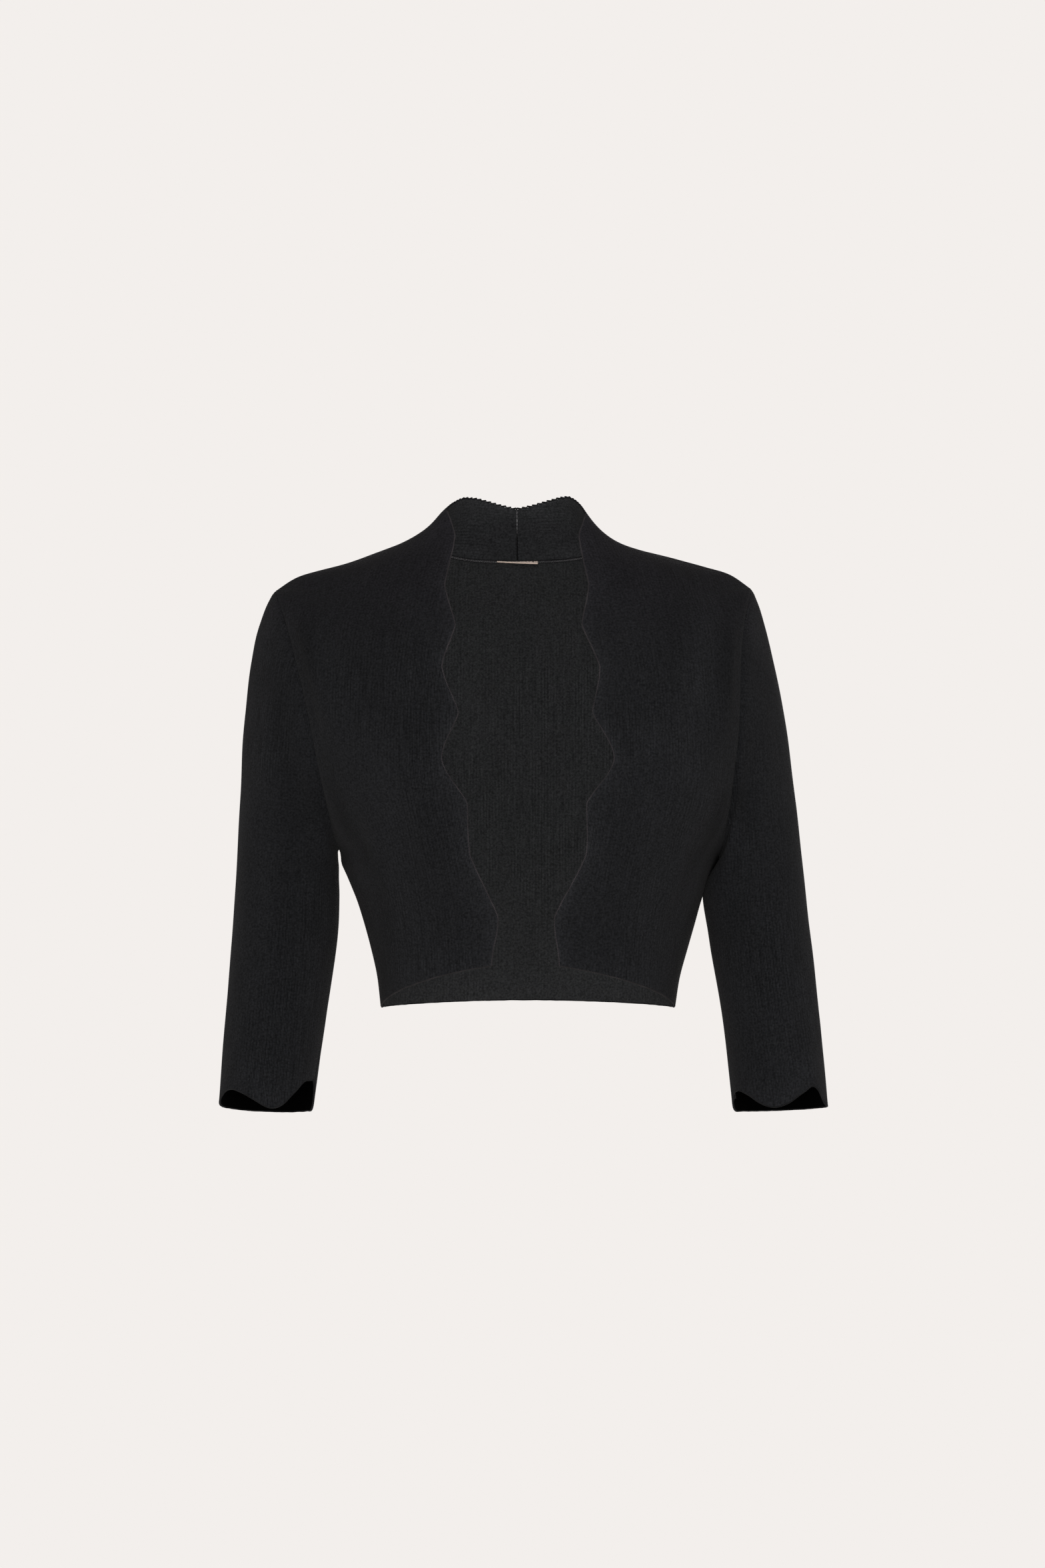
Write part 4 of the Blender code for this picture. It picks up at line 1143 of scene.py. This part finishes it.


# The inner faces are lighter than the outside, partly as the plain reverse of the rib and partly as
# painted light; the back's inside is a lighter copy still, painted light.
INSIDE = (tone(9.0, 9.2, 9.8), tone(19.8, 20.3, 21.4))
KNIT = {  # outside, and on the inside of each kind of panel
    "outside": rib_knit(
        "rib_knit_outside", tone(4.0, 4.2, 4.6), tone(12.1, 12.4, 13.7), tint=SHOULDER_TINT
    ),
    "front": rib_knit("rib_knit_front_inside", *INSIDE),
    "sleeve": rib_knit("rib_knit_sleeve_inside", *INSIDE, sheen=0.0),
    "back": rib_knit("rib_knit_back_inside", tone(11.4, 11.7, 12.1), tone(24.9, 25.5, 26.3)),
}
EDGE_THREAD = thread("edge_thread", tone(13.5, 12.3, 13.3), tone(44.0, 39.2, 42.4), EDGE_STITCH)
HEM_THREAD = thread("hem_thread", tone(8.5, 7.8, 8.2), tone(27.0, 24.5, 25.5), EDGE_STITCH)
DARK_THREAD = thread("collar_edge_thread", tone(4.5, 4.5, 4.8), tone(14.5, 14.5, 15.5), EDGE_STITCH)
BAND_THREAD = thread("seam_binding", tone(5.0, 5.0, 5.5), tone(16, 16, 17), BAND_PITCH)
ZIGZAG_THREAD = thread("seam_thread", tone(12.0, 11.5, 12.0), tone(24, 23, 24), FINE_PITCH)
NECK_THREAD = thread("neck_seam_thread", tone(18.0, 17.6, 18.4), tone(120, 117, 122), FINE_PITCH, even=0.8)
COLLAR_DASHES = thread(
    "collar_seam_thread", tone(2.0, 2.0, 2.1), tone(300, 295, 305), DASH_PITCH, SEAM_DASHES
)
LABEL_TAPE = woven_tape("label_tape", tone(3.0, 3.0, 3.2), tone(11.0, 11.0, 11.5))
LABEL_EDGE_TAPE = woven_tape("label_edge_tape", tone(420, 330, 270), tone(860, 700, 600))

panels = {panel.name: panel for panel in all_panels()}
share_normals(panels.values())
for panel in panels.values():
    raise_relief(panel)

sheets = {}
trims = {name: [] for name in panels}
for name, panel in panels.items():
    kind, *side = name.split("_")
    # the painted light and shade of each point
    stretch = painted_lightness_of(panel)
    sheets[name] = shell(
        "_".join([kind, "knit", *side]),
        panel.grid, panel.normals, panel.distance(EDGES), CLOTH, panel.flat, panel.outward,
        [KNIT["outside"], KNIT[kind]],
        (stretch, painted_lightness_inside(panel, stretch)),
    )
    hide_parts(name)


def trim(panel_name, piece):
    trims[panel_name].append(piece)


def bound(panel_name, name, edge, material, rows=None, closed=False, steps=False):
    """Binds a free edge of a panel, or some of its rows."""
    run = Run(panels[panel_name], edge, EDGE_RING_STEP, rows, closed)
    trim(panel_name, bead(name, run, material, steps))


def sewn(panel_name, name, edge, rows=None, closed=False, material=ZIGZAG_THREAD, radius=SEAM_THREAD):
    """Lays a seam's allowance along an edge of the panel, and zigzags over it."""
    line = (panels[panel_name], edge)
    trim(panel_name, seam_band(name, Run(*line, SEAM_BAND_STEP, rows, closed), BAND_THREAD))
    run = Run(*line, SEAM_STITCH / 4, rows, closed)
    trim(panel_name, seam_thread(name + "_thread", run, material, SEAM_ZIGZAG, SEAM_STITCH, radius))


for side in SIDES:
    front = f"front_{side}"
    bound(front, f"front_hem_edge_{side}", "first_row", HEM_THREAD)
    bound(front, f"front_edge_{side}", "last_column", EDGE_THREAD, (0, COLLAR_FROM_ROW))
    collar_rows = (COLLAR_FROM_ROW, NAPE_ROW)
    bound(front, f"collar_edge_{side}", "last_column", DARK_THREAD, collar_rows, steps=True)
    bound(f"sleeve_{side}", f"cuff_edge_{side}", "last_row", DARK_THREAD, closed=True)
bound("back", "back_hem_edge", "first_row", DARK_THREAD)

sewn("back", "side_seam_right", "first_column", (0, UNDERARM_ROW))
sewn("back", "side_seam_left", "last_column", (0, UNDERARM_ROW))
sewn("back", "shoulder_and_neck_seam", "last_row", material=NECK_THREAD, radius=NECK_SEAM_THREAD)
for side in SIDES:
    sewn(f"sleeve_{side}", f"armhole_seam_{side}", "first_row", closed=True)
    sewn(f"sleeve_{side}", f"underarm_seam_{side}", "first_column")
for side in SIDES:
    front = f"front_{side}"
    run = Run(panels[front], "last_row", COLLAR_STITCH / 4)
    seam = (COLLAR_DASHES, COLLAR_ZIGZAG, COLLAR_STITCH, COLLAR_SEAM_THREAD)
    trim(front, seam_thread(f"collar_seam_thread_{side}", run, *seam))

for name, height, thickness, material in (
    ("label_tape", LABEL_HEIGHT, LABEL_THICKNESS, LABEL_TAPE),
    ("label_top_edge", LABEL_EDGE_HEIGHT, LABEL_THICKNESS + LABEL_EDGE_PROUD, LABEL_EDGE_TAPE),
):
    rows, columns = crowded(height), crowded(LABEL_WIDTH)
    grid = label_grid(rows, columns, height)
    flat = np.stack(np.meshgrid(LABEL_WIDTH * columns, -height * rows), axis=-1)
    down, right = (height * rows)[:, None], (LABEL_WIDTH * columns)[None, :]
    distance = np.minimum(np.minimum(down, height - down), np.minimum(right, LABEL_WIDTH - right))
    normals = grid_normals(grid, rows, columns)
    piece = shell(name, grid, normals, distance, thickness, flat, 1, [material])
    if name == "label_tape":
        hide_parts("neck_label")
    trim("back", piece)

for name, panel in panels.items():
    right, up = np.diff(panel.flat, axis=1)[:-1], np.diff(panel.flat, axis=0)[:, :-1]
    size = tuple(np.ptp(panel.flat.reshape(-1, 2), axis=0).tolist())
    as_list(trims[name])

# ---- stage, light and camera
scene = bpy.context.scene
scene.view_settings.view_transform = "Standard"
scene.world = bpy.data.worlds.new("studio")
nodes = Nodes(scene.world, "Background")
strength = nodes.add("LightPath", output="Is Camera Ray").ramp(0.0, 1.0, AMBIENT)
nodes.feed(nodes.final, {"Color": BACKDROP, "Strength": strength}.items())

mesh = bpy.data.meshes.new("floor")
turn = np.linspace(0, 2 * math.pi, FLOOR_SIDES, endpoint=False)
rim = [(FLOOR_RADIUS * math.cos(a), FLOOR_RADIUS * math.sin(a), FLOOR_Z) for a in turn]
mesh.from_pydata(rim, [], [list(range(FLOOR_SIDES))])
nodes = Nodes(bpy.data.materials.new("floor_paint"))
grey = nodes.add("VectorMath", [(0, (1.0, 1.0, 1.0)), (3, FLOOR_GREY)], operation="SCALE")
glow = 1 - FLOOR_GREY * AMBIENT
paint = {"Base Color": grey, "Roughness": 1.0, "Specular IOR Level": 0.0}
paint |= {"Emission Color": BACKDROP, "Emission Strength": glow}
nodes.feed(nodes.final, paint.items())
mesh.materials.append(nodes.owner)
linked("floor", mesh)

lit = {name: bpy.data.collections.new(f"lit_{name}") for name in ("all", "behind_fronts")}
for panel_name, piece in sheets.items():
    for garment_piece in (piece, *trims[panel_name]):
        lit["all"].objects.link(garment_piece)
        if not panel_name.startswith("front"):
            lit["behind_fronts"].objects.link(garment_piece)
for name, place, size, power, shaded_by in LAMPS:
    lamp = bpy.data.lights.new(name, "AREA")
    lamp.shape = "RECTANGLE"
    lamp.size, lamp.size_y = size
    lamp.energy = power
    holder = linked(name, lamp)
    holder.location = place
    holder.rotation_euler = (Vector(LAMP_TARGET) - Vector(place)).to_track_quat("-Z", "Y").to_euler()
    holder.light_linking.receiver_collection = lit["all"]
    holder.light_linking.blocker_collection = lit[shaded_by]

camera = bpy.data.cameras.new("camera")
camera.lens = LENS
camera.sensor_width = SENSOR
camera.sensor_fit = "AUTO"
viewer = linked("camera", camera)
viewer.location = CAMERA_PLACE
viewer.rotation_euler = (math.pi / 2, 0.0, 0.0)
scene.camera = viewer
